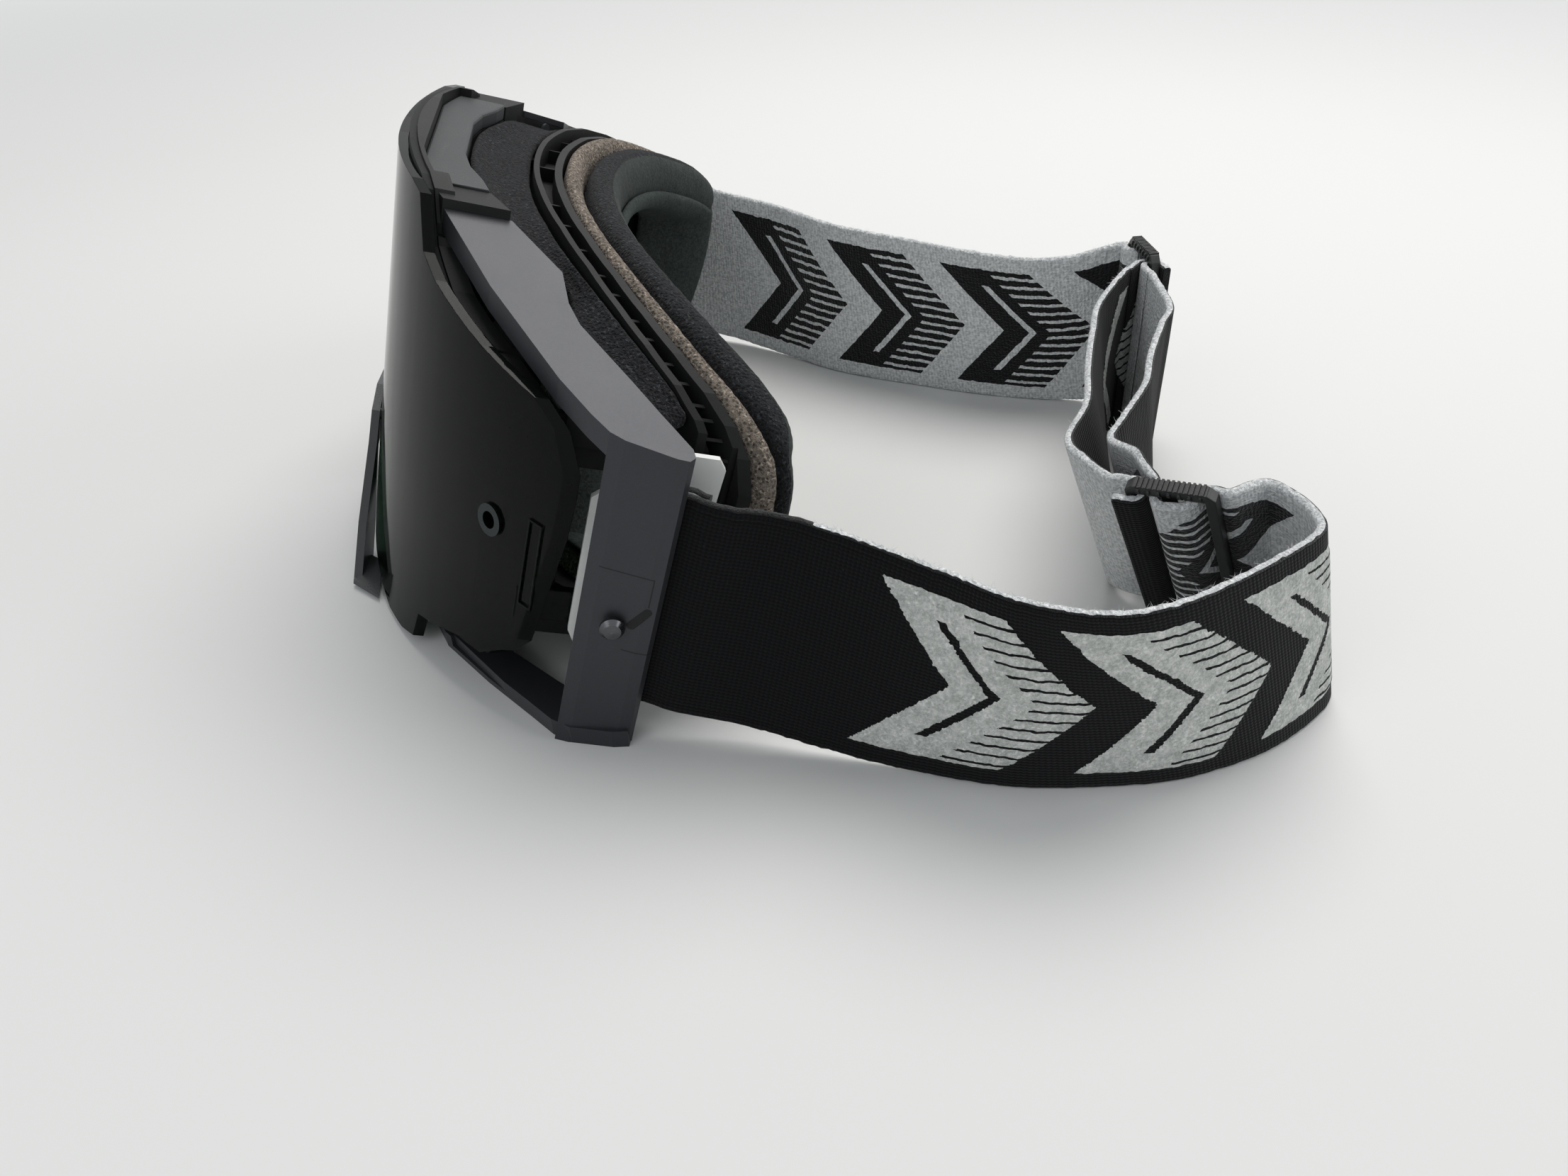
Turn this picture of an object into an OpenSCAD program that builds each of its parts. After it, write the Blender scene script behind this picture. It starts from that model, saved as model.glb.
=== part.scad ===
// Motocross goggles standing on a table, with the strap drawn out behind them.
// The front is drawn upright and leaned back as one. X runs to the wearer's left,
// Y runs from the lens to the strap and Z runs up.

/* [Stance] */
// How far the front leans back, in degrees
lean = 14.8; // [10:0.1:20]
// Drop of the leaned front, so that it meets the table
drop = 2; // [1.6:0.1:2.4]

/* [Lens] */
// Radius of the lens's front face
lens_r = 118; // [114:1:122]
// Where the lens's front face crosses the middle plane
lens_y = 5.6; // [5.2:0.1:6]
// Thickness of the lens
lens_t = 2; // [1.6:0.1:2.4]
// Half of the lens's width
lens_half = 86.5; // [85.5:0.1:87.5]
// Height of the lens's top edge
lens_top = 101; // [99.5:0.5:102]
// Bore of the vent ring in the lens
port_d = 3.4; // [2.6:0.1:4]
// Wall of the vent ring
port_wall = 0.8; // [0.6:0.1:1]
// Thickness of the soft gasket behind the lens
gasket_t = 1.4; // [1:0.1:1.8]

/* [Frame] */
// Depth of the frame's front ring
ring_t = 3.4; // [2.6:0.1:4]
// Width of the front ring, seen from the front
ring_w = 8; // [7:0.1:9]
// Thickness of the frame's side and bottom walls
wall_t = 2.2; // [1.8:0.1:2.8]
// Distance from the lens's front to the rear rim
frame_depth = 27.5; // [26.5:0.5:29]
// Radius of the rear rim, which follows the face
face_r = 113; // [111:0.5:115]
// Thickness of the thin rear rim
rim_t = 1.2; // [0.9:0.1:1.6]
// Width of the vent groove between rim and foam plate
groove_w = 3.4; // [2.8:0.1:4]
// Thickness of the plate that carries the face foam
plate_t = 1.6; // [1.2:0.1:2]
// Height of the rim and foam plate, measured across the ring
rim_w = 9; // [8.5:0.1:9.8]
// Thickness of each vent fin
fin_t = 0.6; // [0.5:0.1:1]
// Vent fins round the rear groove
fin_count = 64; // [40:2:80]
// Width of the ribs that bridge the top vent
bridge_w = 2.4; // [1.8:0.1:3]

/* [Outriggers] */
// Downward slope of the upper arms, in degrees
arm_slope = 17.2; // [16.4:0.1:18]
// Thickness of the upper arms
arm_t = 4.2; // [4:0.1:4.6]
// Height of the lower arms above the table
foot_t = 4; // [3.4:0.1:4.4]
// Diameter of the round stud on each outrigger
stud_d = 4.6; // [3.8:0.1:5.4]
// Diameter of the bar that the strap loops round
bar_d = 2.8; // [2.4:0.1:3]
// Diameter of the rivets that hold the arms
rivet_d = 1.8; // [1.6:0.1:2]

/* [Lock levers] */
// Thickness of the lever plate
lever_t = 1.4; // [1.2:0.1:1.6]
// Diameter of the lever's pin
pin_d = 2; // [1.8:0.1:2.2]
// Radial gap between the pin and the lever's bore
pin_gap = 0.05; // [0.03:0.01:0.08]
// Wall of the lever's barrel round its bore
barrel_wall = 0.85; // [0.7:0.05:0.9]

/* [Foam] */
// Thickness of the light base layer of the face foam
foam_base = 5; // [4:0.1:6]
// Thickness of the dark layer of the face foam
foam_mid = 8.6; // [7.6:0.1:9.4]
// Thickness of the fleece on the face foam
fleece_t = 2.2; // [1.6:0.1:2.8]
// Thickness of the foam over the top vent
vent_foam_t = 2.5; // [2:0.1:2.8]

/* [Strap] */
// Width of the strap
strap_w = 45.5; // [44:0.5:46]
// Thickness of the strap
strap_t = 1.8; // [1.5:0.1:1.9]
// Width of each strap slide, across the strap
slide_h = 51; // [50:0.5:52]
// Thickness of the slides
slide_t = 2.4; // [2:0.1:2.6]

/* [Nose guard] */
// Thickness of the nose guard
guard_t = 1.8; // [1.4:0.1:2]
// Diameter of the pegs on the nose guard
peg_d = 3; // [2.4:0.1:3.4]

/* [Fits] */
// Gap between pieces that seat on one another
fit = 0.05; // [0.02:0.01:0.08]
// Gap between a moving piece, or the soft webbing, and its neighbour
clear = 0.3; // [0.2:0.05:0.4]

/* [Hidden] */
$fn = 64;

// Centre of the table under the whole part, which is the part's origin
origin = [13.6, 108.9, 0];
lens_cy = lens_y + lens_r;
guard_y = lens_y - guard_t - 0.1;
seat_r = lens_r - lens_t - fit;
ring_r = seat_r - gasket_t - fit;
face_cy = lens_y + frame_depth + face_r;
groove_r = face_r - rim_t;
carrier_r = groove_r - groove_w;
foam_r = carrier_r - plate_t - fit;
// Gap between the layers of the face foam
foam_gap = 0.2;
port_x = 75;
port_z = 54;
port_a = asin(port_x / lens_r);
// Middle of the raised mark near the lens's edge
mark_a = asin(83.6 / lens_r);
side_x = 79;
pad_half = 33;
arm_x = 41;
arm_z = lens_top - 2.4;
pad_z = arm_z - 1.1;
bar_x = 87.5;
bar_y = 58;
bore_d = pin_d + 2 * pin_gap;
barrel_d = bore_d + 2 * barrel_wall;
// Radius of the strap's middle where it loops round its bar
loop_r = (bar_d + strap_t) / 2 + 0.1;
// The lever stands just inside the strap's loop, and its plate is flush with its barrel
pin_x = bar_x - loop_r - strap_t / 2 - clear - barrel_d / 2;
pin_y = 57;
plate_in = pin_x + barrel_d / 2 - lever_t;
// Front edge of the lever, and how far back the lens's lug reaches under it
lever_front = 48.9;
lug_end = lever_front + 0.5;
lever_low = 31.3;
lever_high = 69.7;

// Right halves of the outlines, from the nose up to the top, seen from the front
lens_half_pts = [[9, 34], [14, 24], [20, 12], [25, 10], [34, 8.4], [42, 6.8], [50, 7.8], [55.5, 10],
    [57, 17], [61, 18.5], [70, 22.5], [76, 23.4], [80.4, 28], [lens_half - 3.4, 33],
    [lens_half - 0.4, 58], [lens_half, 66], [lens_half, 72],
    [84, 79], [80, 82.4], [68, 84.9], [52, 88.9], [46, 91.6], [42, lens_top], [36, lens_top + 0.6],
    [20, lens_top + 0.3], [6, lens_top]];
seat_half_pts = [[9, 42], [16, 31], [25, 18], [36, 14.4], [48, 14.6], [55, 18.4], [62, 23], [70, 26.5],
    [76, 30], [side_x, 38], [side_x, 70], [76, 78], [66, 82.5], [51, 87], [43, 92], [38, 101],
    [34, 102.6], [16, 103.6]];
rim_half_pts = [[6, 48], [12, 43], [19, 31], [27, 20.6], [38, 14.8], [52, 17], [64, 21.6], [74, 29],
    [80, 38], [83, 55], [83, 70], [81.5, 77], [78.5, 82], [74, 86], [67, 89.6], [59, 92.6],
    [49, 95.4], [36, 97.4], [18, 98.4]];
lens_line = both(lens_half_pts);
seat_line = both(seat_half_pts);
rim_line = both(rim_half_pts);

// Plan outlines of the left outrigger, seen from above
arm_plan = [[arm_x + fit, 17.6], [60, 27.6], [80, 40.6], [87, 46.2], [90.4, 49.4], [91.8, 52],
    [94.2, 60.6], [94.4, 62.8], [93.4, 63.8], [91.6, 63.4], [84, 57.5], [78, 53], [66, 43.6],
    [61, 41.4], [53, 39.9], [arm_x + fit, 30]];
plate_plan = [[88.6, 49.6], [90.4, 49.4], [91.8, 52], [94.2, 60.6], [94.4, 62.8], [93.4, 63.8],
    [92.2, 63.6], [91.6, 60.4], [89.4, 52.4]];
foot_plan = [[47, 25], [57, 28.6], [71, 38], [83, 47], [89, 51.4], [92, 55], [94.7, 63],
    [95, 66], [92.4, 66.6], [86, 60.4], [78, 53], [66, 43], [57, 36.4], [47, 33]];
// The frame's tongue along the rear edge of the left arm, which the rivet passes through
tongue_plan = [[38, 26.2], [42.2, 28.4], [54.1, 38.5], [53, 39.9], [arm_x, 30], [38, 28]];
// Plan outline of the top pad's right half
pad_plan = [[0, 8], [pad_half, 12], [pad_half, 25.4], [27, 23.8], [20, 21], [12, 19.5], [0, 19]];

// Front and rear edges of the foam over the top vent, from the middle out to the side. The
// rear edge's middle number is its gap to the rear rim.
vent_front = [[0, 20, 99.3], [14, 20.9, 99.3], [24, 23.8, 99], [33, 26.8, 98.2], [43, 33.6, 95],
    [53, 41.6, 91.6], [62, 42.4, 88.6], [68, 46, 86.8], [76, 52.4, 84.4], [82, 57, 82]];
vent_back = [[0, 0.6, 97.6], [13, 0.95, 97.6], [23, 1.3, 97.4], [33, 1.4, 97], [43, 1.8, 96],
    [54, 1.2, 93.6], [62, 1, 91.4], [69, 0.6, 88.6], [74.5, 0.4, 85.6], [77.8, 0.3, 82.4]];
vent_rear = [for (r = vent_back) [r[0], face_y(r[0], face_r) - r[1], r[2]]];

// Lower edge of each strap on the table and its upper edge, from the outrigger to its far end.
// Each row is one station: lower X, Y, Z, then upper X, Y, Z.
left_run = [[97, 88, 5, 95.6, 97.5, 50], [103.2, 102.5, 2.6, 102.4, 109.5, 47.5],
    [109.5, 116.8, 1, 111.4, 121, 46], [117, 136.6, 0.5, 120.4, 131.4, 45.4],
    [120, 158.8, 0.5, 123.4, 144.5, 43.3], [119.2, 172.6, 0.5, 122.6, 157.4, 43.3],
    [114.4, 189, 0.5, 116, 174.4, 43.4], [104.6, 204.4, 0.5, 107.2, 190.2, 43.6],
    [96, 207, 1, 100.4, 192.6, 44], [88.6, 206, 2.4, 95, 190.8, 44.6],
    [84, 203.6, 4.2, 92.4, 187, 45.6]];
middle_left = [[61.8, 183.5, 2, 68.8, 167, 43.8], [58.5, 185.1, 0.5, 61.5, 172.1, 44],
    [48.9, 191.2, 0.5, 48.9, 182.2, 45], [36.9, 193.3, 0.5, 36.9, 188.3, 45.7],
    [21.2, 199.6, 0.6, 21.2, 197.6, 46], [14, 203.4, 1.6, 14, 202.4, 47]];
right_run = [[-96.4, 88, 5, -96, 98, 50], [-90, 106, 2.6, -92, 104, 48],
    [-77, 122, 1, -80, 120, 46], [-61, 139, 0.5, -62, 134, 45],
    [-47, 162, 0.5, -47, 153, 45], [-38.5, 178, 0.5, -36, 167.5, 44.6],
    [-33, 193, 0.6, -29, 181, 44.4], [-29.5, 203, 1.4, -25.5, 193, 45.2]];
middle_right = [[6.8, 194.8, 1, 6.8, 187.8, 46], [18.7, 191.9, 0.5, 18.7, 181.9, 45],
    [36.8, 187.1, 0.5, 36.8, 174.1, 44], [48.1, 184.6, 0.5, 51.1, 168.6, 43],
    [58.1, 177.5, 1.5, 65.1, 159.5, 42.7], [64.5, 177.8, 3, 74.5, 159.3, 43.3]];
// The two slides: centre and turns
slide_left_at = [84.9, 179.6, 24.4];
slide_left_turn = [29.6, -8.9, 48.3];
slide_right_at = [-15.2, 208.5, 25.6];
slide_right_turn = [2, 0, -2.8];
// Half sizes of a slide along the strap: middle bar, slot end and outer end
slide_mid = 1.5;
slide_slot = 6.4;
slide_end = 8.4;
// Where the strap's middle runs in the slide that it passes through, X and Y
thread_pts = [[-10, -2.3], [-8, -2.3], [-6.4, -2.3], [-5.1, -1.6], [-3.8, 0.8], [-2.5, 2.2],
    [-0.4, 2.4], [1.4, 2.4], [2.8, 1.4], [3.1, -0.8], [3.9, -3], [5.4, -4.4], [7.4, -6.3], [9.6, -8.6]];
// Where the sewn end runs round the outer bar of the other slide, X and Y
wrap_pts = [[13, -2.3], [11, -2.3], [8.6, -2.3], [6.7, -2.25], [5.6, -1.8], [5.2, -0.9], [5.1, 0],
    [5.2, 0.9], [5.6, 1.8], [6.7, 2.25], [8.6, 2.3], [10.4, 2.3]];

function unit(v) = v / norm(v);
function turned(p, m) = [p[0] * m[0], p[1] * m[1], p[2] * m[2]];
// Faces of a skin over a row of sections with m points each, closed at both ends
function skin(count, m) = concat(
    [for (j = [1:m - 2]) [0, j + 1, j]],
    [for (i = [0:count - 2], j = [0:m - 1])
        let (a = m * i + j, b = m * i + (j + 1) % m, c = b + m, d = a + m)
        each [[a, b, c], [a, c, d]]],
    [for (j = [1:m - 2]) [m * (count - 1), m * (count - 1) + j, m * (count - 1) + j + 1]]);
function flip(p) = [-p[0], p[1]];
function both(p) = concat(p, [for (i = [len(p) - 1:-1:0]) flip(p[i])]);
function at(p, i) = p[(i + len(p)) % len(p)];
function left_of(u) = [-u[1], u[0]];
function side_normal(p, i) = left_of(unit(at(p, i + 1) - at(p, i)));
// Moves a closed outline inwards by d, with sharp corners
function inset(p, d) = [for (i = [0:len(p) - 1])
    let (a = side_normal(p, i - 1), b = side_normal(p, i)) p[i] + (a + b) * d / (1 + a * b)];
// Smooth curve through four points
function blend(a, b, c, d, t) = 0.5 * (2 * b + (c - a) * t + (2 * a - 5 * b + 4 * c - d) * t * t
    + (3 * b - a - 3 * c + d) * t * t * t);
function smooth_loop(p, n) = [for (i = [0:len(p) - 1], k = [0:n - 1])
    blend(at(p, i - 1), p[i], at(p, i + 1), at(p, i + 2), k / n)];
function smooth_run(p, n) = concat([for (i = [0:len(p) - 2], k = [0:n - 1])
    blend(p[max(i - 1, 0)], p[i], p[i + 1], p[min(i + 2, len(p) - 1)], k / n)], [p[len(p) - 1]]);
function loop_normal(p, i) = left_of(unit(at(p, i + 1) - at(p, i - 1)));
// Depth of a face cylinder of radius r at x
function face_y(x, r) = face_cy - sqrt(r * r - x * x);
// Leans a point of the upright front back on to the table
function leaned(p) = [p[0], p[1] * cos(lean) + p[2] * sin(lean),
    p[2] * cos(lean) - p[1] * sin(lean) - drop];
function turn_x(p, a) = [p[0], p[1] * cos(a) - p[2] * sin(a), p[1] * sin(a) + p[2] * cos(a)];
function turn_y(p, a) = [p[0] * cos(a) + p[2] * sin(a), p[1], p[2] * cos(a) - p[0] * sin(a)];
function turn_z(p, a) = [p[0] * cos(a) - p[1] * sin(a), p[0] * sin(a) + p[1] * cos(a), p[2]];
function placed(p, at, turn) = at + turn_z(turn_y(turn_x(p, turn[0]), turn[1]), turn[2]);
function low(s) = [s[0], s[1], s[2]];
function high(s) = [s[3], s[4], s[5]];
// A strap station on a slide: the strap's middle at p, as wide as the strap
function on_slide(p, at, turn) = concat(placed([p[0], p[1], -strap_w / 2], at, turn),
    placed([p[0], p[1], strap_w / 2], at, turn));
// A strap station at the outrigger: sx is the side, p the plan point
function on_bar(p, sx) = concat(leaned([sx * p[0], p[1], 51 - strap_w / 2]),
    leaned([sx * p[0], p[1], 51 + strap_w / 2]));

// Extrudes a front view outline along Y from y0 to y1
module slab(y0, y1) {
    translate([0, y1, 0]) rotate([90, 0, 0]) linear_extrude(y1 - y0) children();
}
module band(outer, inner) {
    difference() {
        polygon(outer);
        polygon(inner);
    }
}
// Upright cylinder shell about the middle plane
module shell(cy, ro, ri) {
    translate([0, cy, -20]) difference() {
        cylinder(r = ro, h = 150, $fn = 180);
        translate([0, 0, -1]) cylinder(r = ri, h = 152, $fn = 180);
    }
}
module post(x, y, z0, z1, d) {
    translate([x, y, z0]) cylinder(d = d, h = z1 - z0);
}
module side(s) {
    if (s > 0) children();
    else mirror([1, 0, 0]) children();
}
// Leans the upright front back on to the table; s is 1 on the left side and -1 on the right
module stand(s = 1) {
    translate([0, 0, -drop] - origin) rotate([-lean, 0, 0]) side(s) children();
}
// Places what is measured from the table itself
module table(s = 1) {
    translate(-origin) side(s) children();
}
// Everything between the lens ring and the rear rim
module between() {
    intersection() {
        children();
        difference() {
            translate([0, lens_cy, -20]) cylinder(r = ring_r - 0.5, h = 150, $fn = 180);
            translate([0, face_cy, -21]) cylinder(r = face_r + fit, h = 152, $fn = 180);
        }
    }
}
// Closed ring swept round an outline: a section's points are inset and height above the foam
// plate, and it changes from the upper section to the lower one down the sides
module foam_ring(upper, lower, n) {
    line = smooth_loop(rim_line, n);
    count = len(line);
    m = len(upper);
    points = [for (i = [0:count - 1], j = [0:m - 1])
        let (w = min(max((line[i][1] - 78) / 12, 0), 1), s = upper[j] * w + lower[j] * (1 - w),
            p = line[i] + loop_normal(line, i) * s[0])
        [p[0], face_y(p[0], foam_r - s[1]), p[1]]];
    faces = [for (i = [0:count - 1], j = [0:m - 1])
        let (a = i * m + j, b = i * m + (j + 1) % m,
            c = ((i + 1) % count) * m + (j + 1) % m, d = ((i + 1) % count) * m + j)
        each [[a, c, b], [a, d, c]]];
    polyhedron(points = points, faces = faces, convexity = 10);
}
// A strap swept along stations that give its lower and upper edge
module ribbon(stations) {
    count = len(stations);
    mids = [for (s = stations) (low(s) + high(s)) / 2];
    points = [for (i = [0:count - 1])
        let (s = stations[i], u = unit(high(s) - low(s)),
            t = unit(mids[min(i + 1, count - 1)] - mids[max(i - 1, 0)]),
            n = unit(cross(t, u)) * strap_t / 2, a = low(s), b = low(s) + u * strap_w)
        each [a - n, a + n, b + n, b - n]];
    table() polyhedron(points = points, faces = skin(count, 4), convexity = 10);
}

module main_frame() {
    color("#1d1f21") stand() {
        // front ring that the lens seats on
        intersection() {
            slab(0, 62) band(seat_line, inset(seat_line, ring_w));
            difference() {
                shell(lens_cy, ring_r, ring_r - ring_t);
                // pocket for the front of the pad
                pad_prism(pad_z, 12, pad_plan, fit);
                // corners under the arms' front ends
                for (s = [-1, 1]) side(s) translate([arm_x, 8, arm_low(arm_x + 2.5)]) cube([6, 20, 12]);
            }
        }
        // side and bottom walls back to the rear rim, with side vents
        difference() {
            between() slab(8, 80) band(seat_line, inset(seat_line, wall_t));
            translate([-side_x + 4, 0, 74]) cube([2 * side_x - 8, 100, 40]);
            for (s = [-1, 1]) {
                translate([s * side_x - 6, 44.4, 37]) cube([12, 17.1, 32.6]);
                translate([s * 41 - 7, 26, 8]) cube([14, 10, 12]);
            }
        }
        // ribs that bridge the top vent
        between() for (s = [-1, 1], r = [[20, 91], [43, 87.4], [64, 80.6]])
            translate([s * r[0] - bridge_w / 2, 5, r[1]]) cube([bridge_w, 80, 2.6]);
        // posts that tie the middle ribs to the beam
        for (s = [-1, 1]) translate([s * 20 - bridge_w / 2, 13, 91]) cube([bridge_w, 6, pad_z - 92.4]);
        // beam under the pad, with a shoulder each side that meets the arm
        difference() {
            intersection() {
                union() {
                    translate([0, 0, pad_z - 2.7]) linear_extrude(2.7) polygon(both_plan(pad_plan));
                    for (s = [-1, 1]) side(s) translate([0, 0, 94.2]) linear_extrude(6.2)
                        polygon([[pad_half + fit, 11], [arm_x, 14], [arm_x, 29.6], [pad_half + fit, 25.6]]);
                }
                translate([0, lens_cy, 0]) cylinder(r = ring_r - 0.6, h = 150, $fn = 180);
            }
            for (s = [-1, 1]) side(s) rivet_cut();
        }
        // tongue let into the arm
        for (s = [-1, 1]) side(s) difference() {
            arm_slice(arm_t, 1.4) polygon(tongue_plan);
            rivet_cut();
        }
        for (s = [-1, 1]) side(s) {
            // strut from the ring's corner up to the arm
            translate([74.6, 43, 74]) cube([5.2, 8, arm_low(77) - 75.6]);
            // lugs that hold the lever's pin
            for (z = [lever_low - 3.3, lever_high + 0.3])
                difference() {
                    translate([z < 50 ? 70 : side_x - 1.5, pin_y - 3, z])
                        cube([z < 50 ? pin_x - 68.1 : pin_x - side_x + 3.4, 6, 3]);
                    post(pin_x, pin_y, z - 1, z + 4, pin_d + 2 * fit);
                    translate([0, face_cy, 20]) cylinder(r = face_r + fit, h = 60, $fn = 180);
                }
        }
    }
}
// Underside of the upper arm at x
function arm_low(x) = arm_z - (x - arm_x) * tan(arm_slope) - arm_t / cos(arm_slope);

// Slice of a plan that slopes with the arm, from low to high below the arm's top face
module arm_slice(low, high) {
    intersection() {
        linear_extrude(120) children();
        translate([arm_x, 0, arm_z]) rotate([0, arm_slope, 0]) translate([-10, 0, -low])
            cube([80, 90, low - high]);
    }
}
module at_rivet() {
    translate([47, 34.97, arm_z - 6 * tan(arm_slope) - (arm_t + 1.4) / 2 / cos(arm_slope)])
        rotate([90, 0, 39.64]) children();
}
module rivet_cut() {
    at_rivet() translate([0, 0, -1]) cylinder(d = rivet_d, h = 6.2);
}

module face_flange() {
    hole = inset(rim_line, rim_w);
    color("#202224") stand() difference() {
        flange_rings(hole);
        // notch that the lever's thumb tab swings into
        for (s = [-1, 1]) side(s) translate([plate_in - 2.9, 55, 60]) cube([12, 18.6, 20.4]);
    }
}
module flange_rings(hole) {
    union() {
        intersection() {
            slab(20, 110) band(rim_line, hole);
            shell(face_cy, face_r, groove_r);
        }
        intersection() {
            slab(20, 110) band(inset(rim_line, 5.4), hole);
            shell(face_cy, groove_r + 0.1, carrier_r - 0.1);
        }
        intersection() {
            slab(20, 110) band(inset(rim_line, 1), hole);
            shell(face_cy, carrier_r, carrier_r - plate_t);
        }
        // fins across the vent groove
        intersection() {
            slab(20, 110) vent_fins();
            shell(face_cy, groove_r + 0.1, carrier_r - 0.1);
        }
    }
}
module vent_fins() {
    line = smooth_loop(rim_line, 6);
    for (k = [0:fin_count - 1]) {
        i = floor((k + 0.5) * len(line) / fin_count);
        n = loop_normal(line, i);
        a = line[i] + n * 2.6;
        translate(a) rotate(atan2(n[1], n[0])) translate([0, -fin_t / 2]) square([3.2, fin_t]);
    }
}

module top_pad() {
    color("#5b5e60") stand() pad_prism(pad_z + fit, 3.4, pad_plan, 0);
}
// Pad's outline from z upwards, h high and grown by d, cut to the curve of the ring in front
module pad_prism(z, h, plan, d) {
    intersection() {
        translate([0, 0, z]) linear_extrude(h) polygon(inset(both_plan(plan), -d));
        translate([0, lens_cy, 0]) cylinder(r = ring_r - 0.9 + d, h = 150, $fn = 180);
    }
}
function both_plan(p) = concat([for (i = [1:len(p) - 2]) p[i]], [for (i = [len(p) - 2:-1:1]) flip(p[i])]);

module top_vent_foam() {
    front = smooth_run(concat([for (i = [len(vent_front) - 1:-1:1])
        [-vent_front[i][0], vent_front[i][1], vent_front[i][2]]], vent_front), 3);
    rear = smooth_run(concat([for (i = [len(vent_rear) - 1:-1:1])
        [-vent_rear[i][0], vent_rear[i][1], vent_rear[i][2]]], vent_rear), 3);
    n = len(front);
    m = 6;
    top = [for (i = [0:n - 1], j = [0:m - 1]) let (t = j / (m - 1), p = front[i] * (1 - t) + rear[i] * t)
        p - [0, 0, 5.6 * t * (1 - t) * (1 - 0.5 * abs(p[0]) / 80)]];
    low_side = [for (p = top) p - [0, 0, vent_foam_t]];
    points = concat(top, low_side);
    o = n * m;
    skin = [for (i = [0:n - 2], j = [0:m - 2])
        let (a = i * m + j, b = a + 1, c = a + m + 1, d = a + m)
        each [[a, b, c], [a, c, d], [o + a, o + c, o + b], [o + a, o + d, o + c]]];
    edges = [for (i = [0:n - 2]) let (a = i * m, d = a + m, b = i * m + m - 1, c = b + m)
        each [[a, d, o + d], [a, o + d, o + a], [b, o + c, c], [b, o + b, o + c]]];
    ends = [for (j = [0:m - 2]) let (a = j, b = j + 1, c = (n - 1) * m + j, d = c + 1)
        each [[a, o + b, b], [a, o + a, o + b], [c, d, o + d], [c, o + d, o + c]]];
    color("#26272a") stand() polyhedron(points = points, faces = concat(skin, edges, ends));
}

module lens() {
    lug_y = lens_cy - sqrt(pow(lens_r - 1, 2) - 6432);
    color("#16281f") stand() difference() {
        union() {
            intersection() {
                slab(-2, 62) polygon(lens_line);
                shell(lens_cy, lens_r, lens_r - lens_t);
            }
            for (s = [-1, 1]) side(s) {
                // raised outline near the lens's edge
                translate([0, lens_cy, 50.6]) rotate([90, 0, mark_a]) translate([0, 0, lens_r - 0.4])
                    linear_extrude(0.8) difference() {
                        square([3.4, 18.6], center = true);
                        square([2.6, 17.8], center = true);
                    }
                // lug behind the lens that the lever bears on
                translate([80.2, lug_y, 37.4]) cube([plate_in - 1.5 * clear - 80.2, lug_end - lug_y, 7]);
            }
        }
        for (s = [-1, 1]) side(s) {
            translate([0, lens_cy, port_z]) rotate([90, 0, port_a]) translate([0, 0, lens_r - 6])
                cylinder(d = port_d + 2 * port_wall + 2 * fit, h = 12);
            translate([8.4, 0, 37.2]) rotate([-90, 0, 0]) cylinder(d = peg_d + 2 * fit, h = 20);
        }
    }
}
module lens_gasket() {
    color("#2b2d2f") stand() intersection() {
        slab(0, 62) band(inset(seat_line, 0.6), inset(seat_line, ring_w - 0.8));
        shell(lens_cy, seat_r, seat_r - gasket_t);
    }
}
module vent_ring(s) {
    color("#c9cdd0") stand(s) difference() {
        translate([0, lens_cy, port_z]) rotate([90, 0, port_a]) union() {
            translate([0, 0, lens_r - lens_t]) cylinder(d = port_d + 2 * port_wall, h = lens_t + 0.1);
            translate([0, 0, lens_r + fit]) cylinder(d = port_d + 3, h = 0.6);
        }
        translate([0, lens_cy, port_z]) rotate([90, 0, port_a]) translate([0, 0, lens_r - 6])
            cylinder(d = port_d, h = 12);
    }
}
module vent_ring_left() {
    vent_ring(1);
}
module vent_ring_right() {
    vent_ring(-1);
}

module outrigger(s) {
    color("#8f9396") {
        difference() {
            stand(s) outrigger_front();
            // the side plate ends on the table
            translate([-200, -200, -40]) cube([400, 400, 40]);
        }
        // lower arm, whose underside is the foot on the table
        difference() {
            table(s) difference() {
                linear_extrude(foot_t) polygon(foot_plan);
                // hollow on the outer face
                translate([0, 0, 1.4]) linear_extrude(foot_t) polygon([[60, 28], [80, 42.4],
                    [82, 45.6], [58.6, 30.6]]);
            }
            stand(s) {
                slab(0, 90) polygon(inset(seat_line, -fit));
                post(bar_x, bar_y, 18.6, 40, bar_d + 2 * fit);
            }
        }
    }
}
module outrigger_front() {
    difference() {
        union() {
            // upper arm, a sloping slice of its plan
            difference() {
                arm_slice(arm_t, 0) polygon(arm_plan);
                arm_slice(arm_t + 1, 1.4 - fit) polygon(inset(tongue_plan, -fit));
            }
            // side plate, cut to the arm's slope above
            difference() {
                intersection() {
                    translate([0, 0, 10]) linear_extrude(110) polygon(plate_plan);
                    translate([60, 49, 0]) cube([60, 17, 120]);
                }
                translate([arm_x, 0, arm_z]) rotate([0, arm_slope, 0]) translate([-10, 0, -0.1])
                    cube([80, 90, 60]);
            }
        }
        rivet_cut();
        post(bar_x, bar_y, 10, 82.6, bar_d + 2 * fit);
        translate([91.5, 55.6, 46]) rotate([0, 90, 0]) cylinder(d = 2.4 + 2 * fit, h = 20, center = true);
    }
}
module outrigger_left() {
    outrigger(1);
}
module outrigger_right() {
    outrigger(-1);
}
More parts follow.
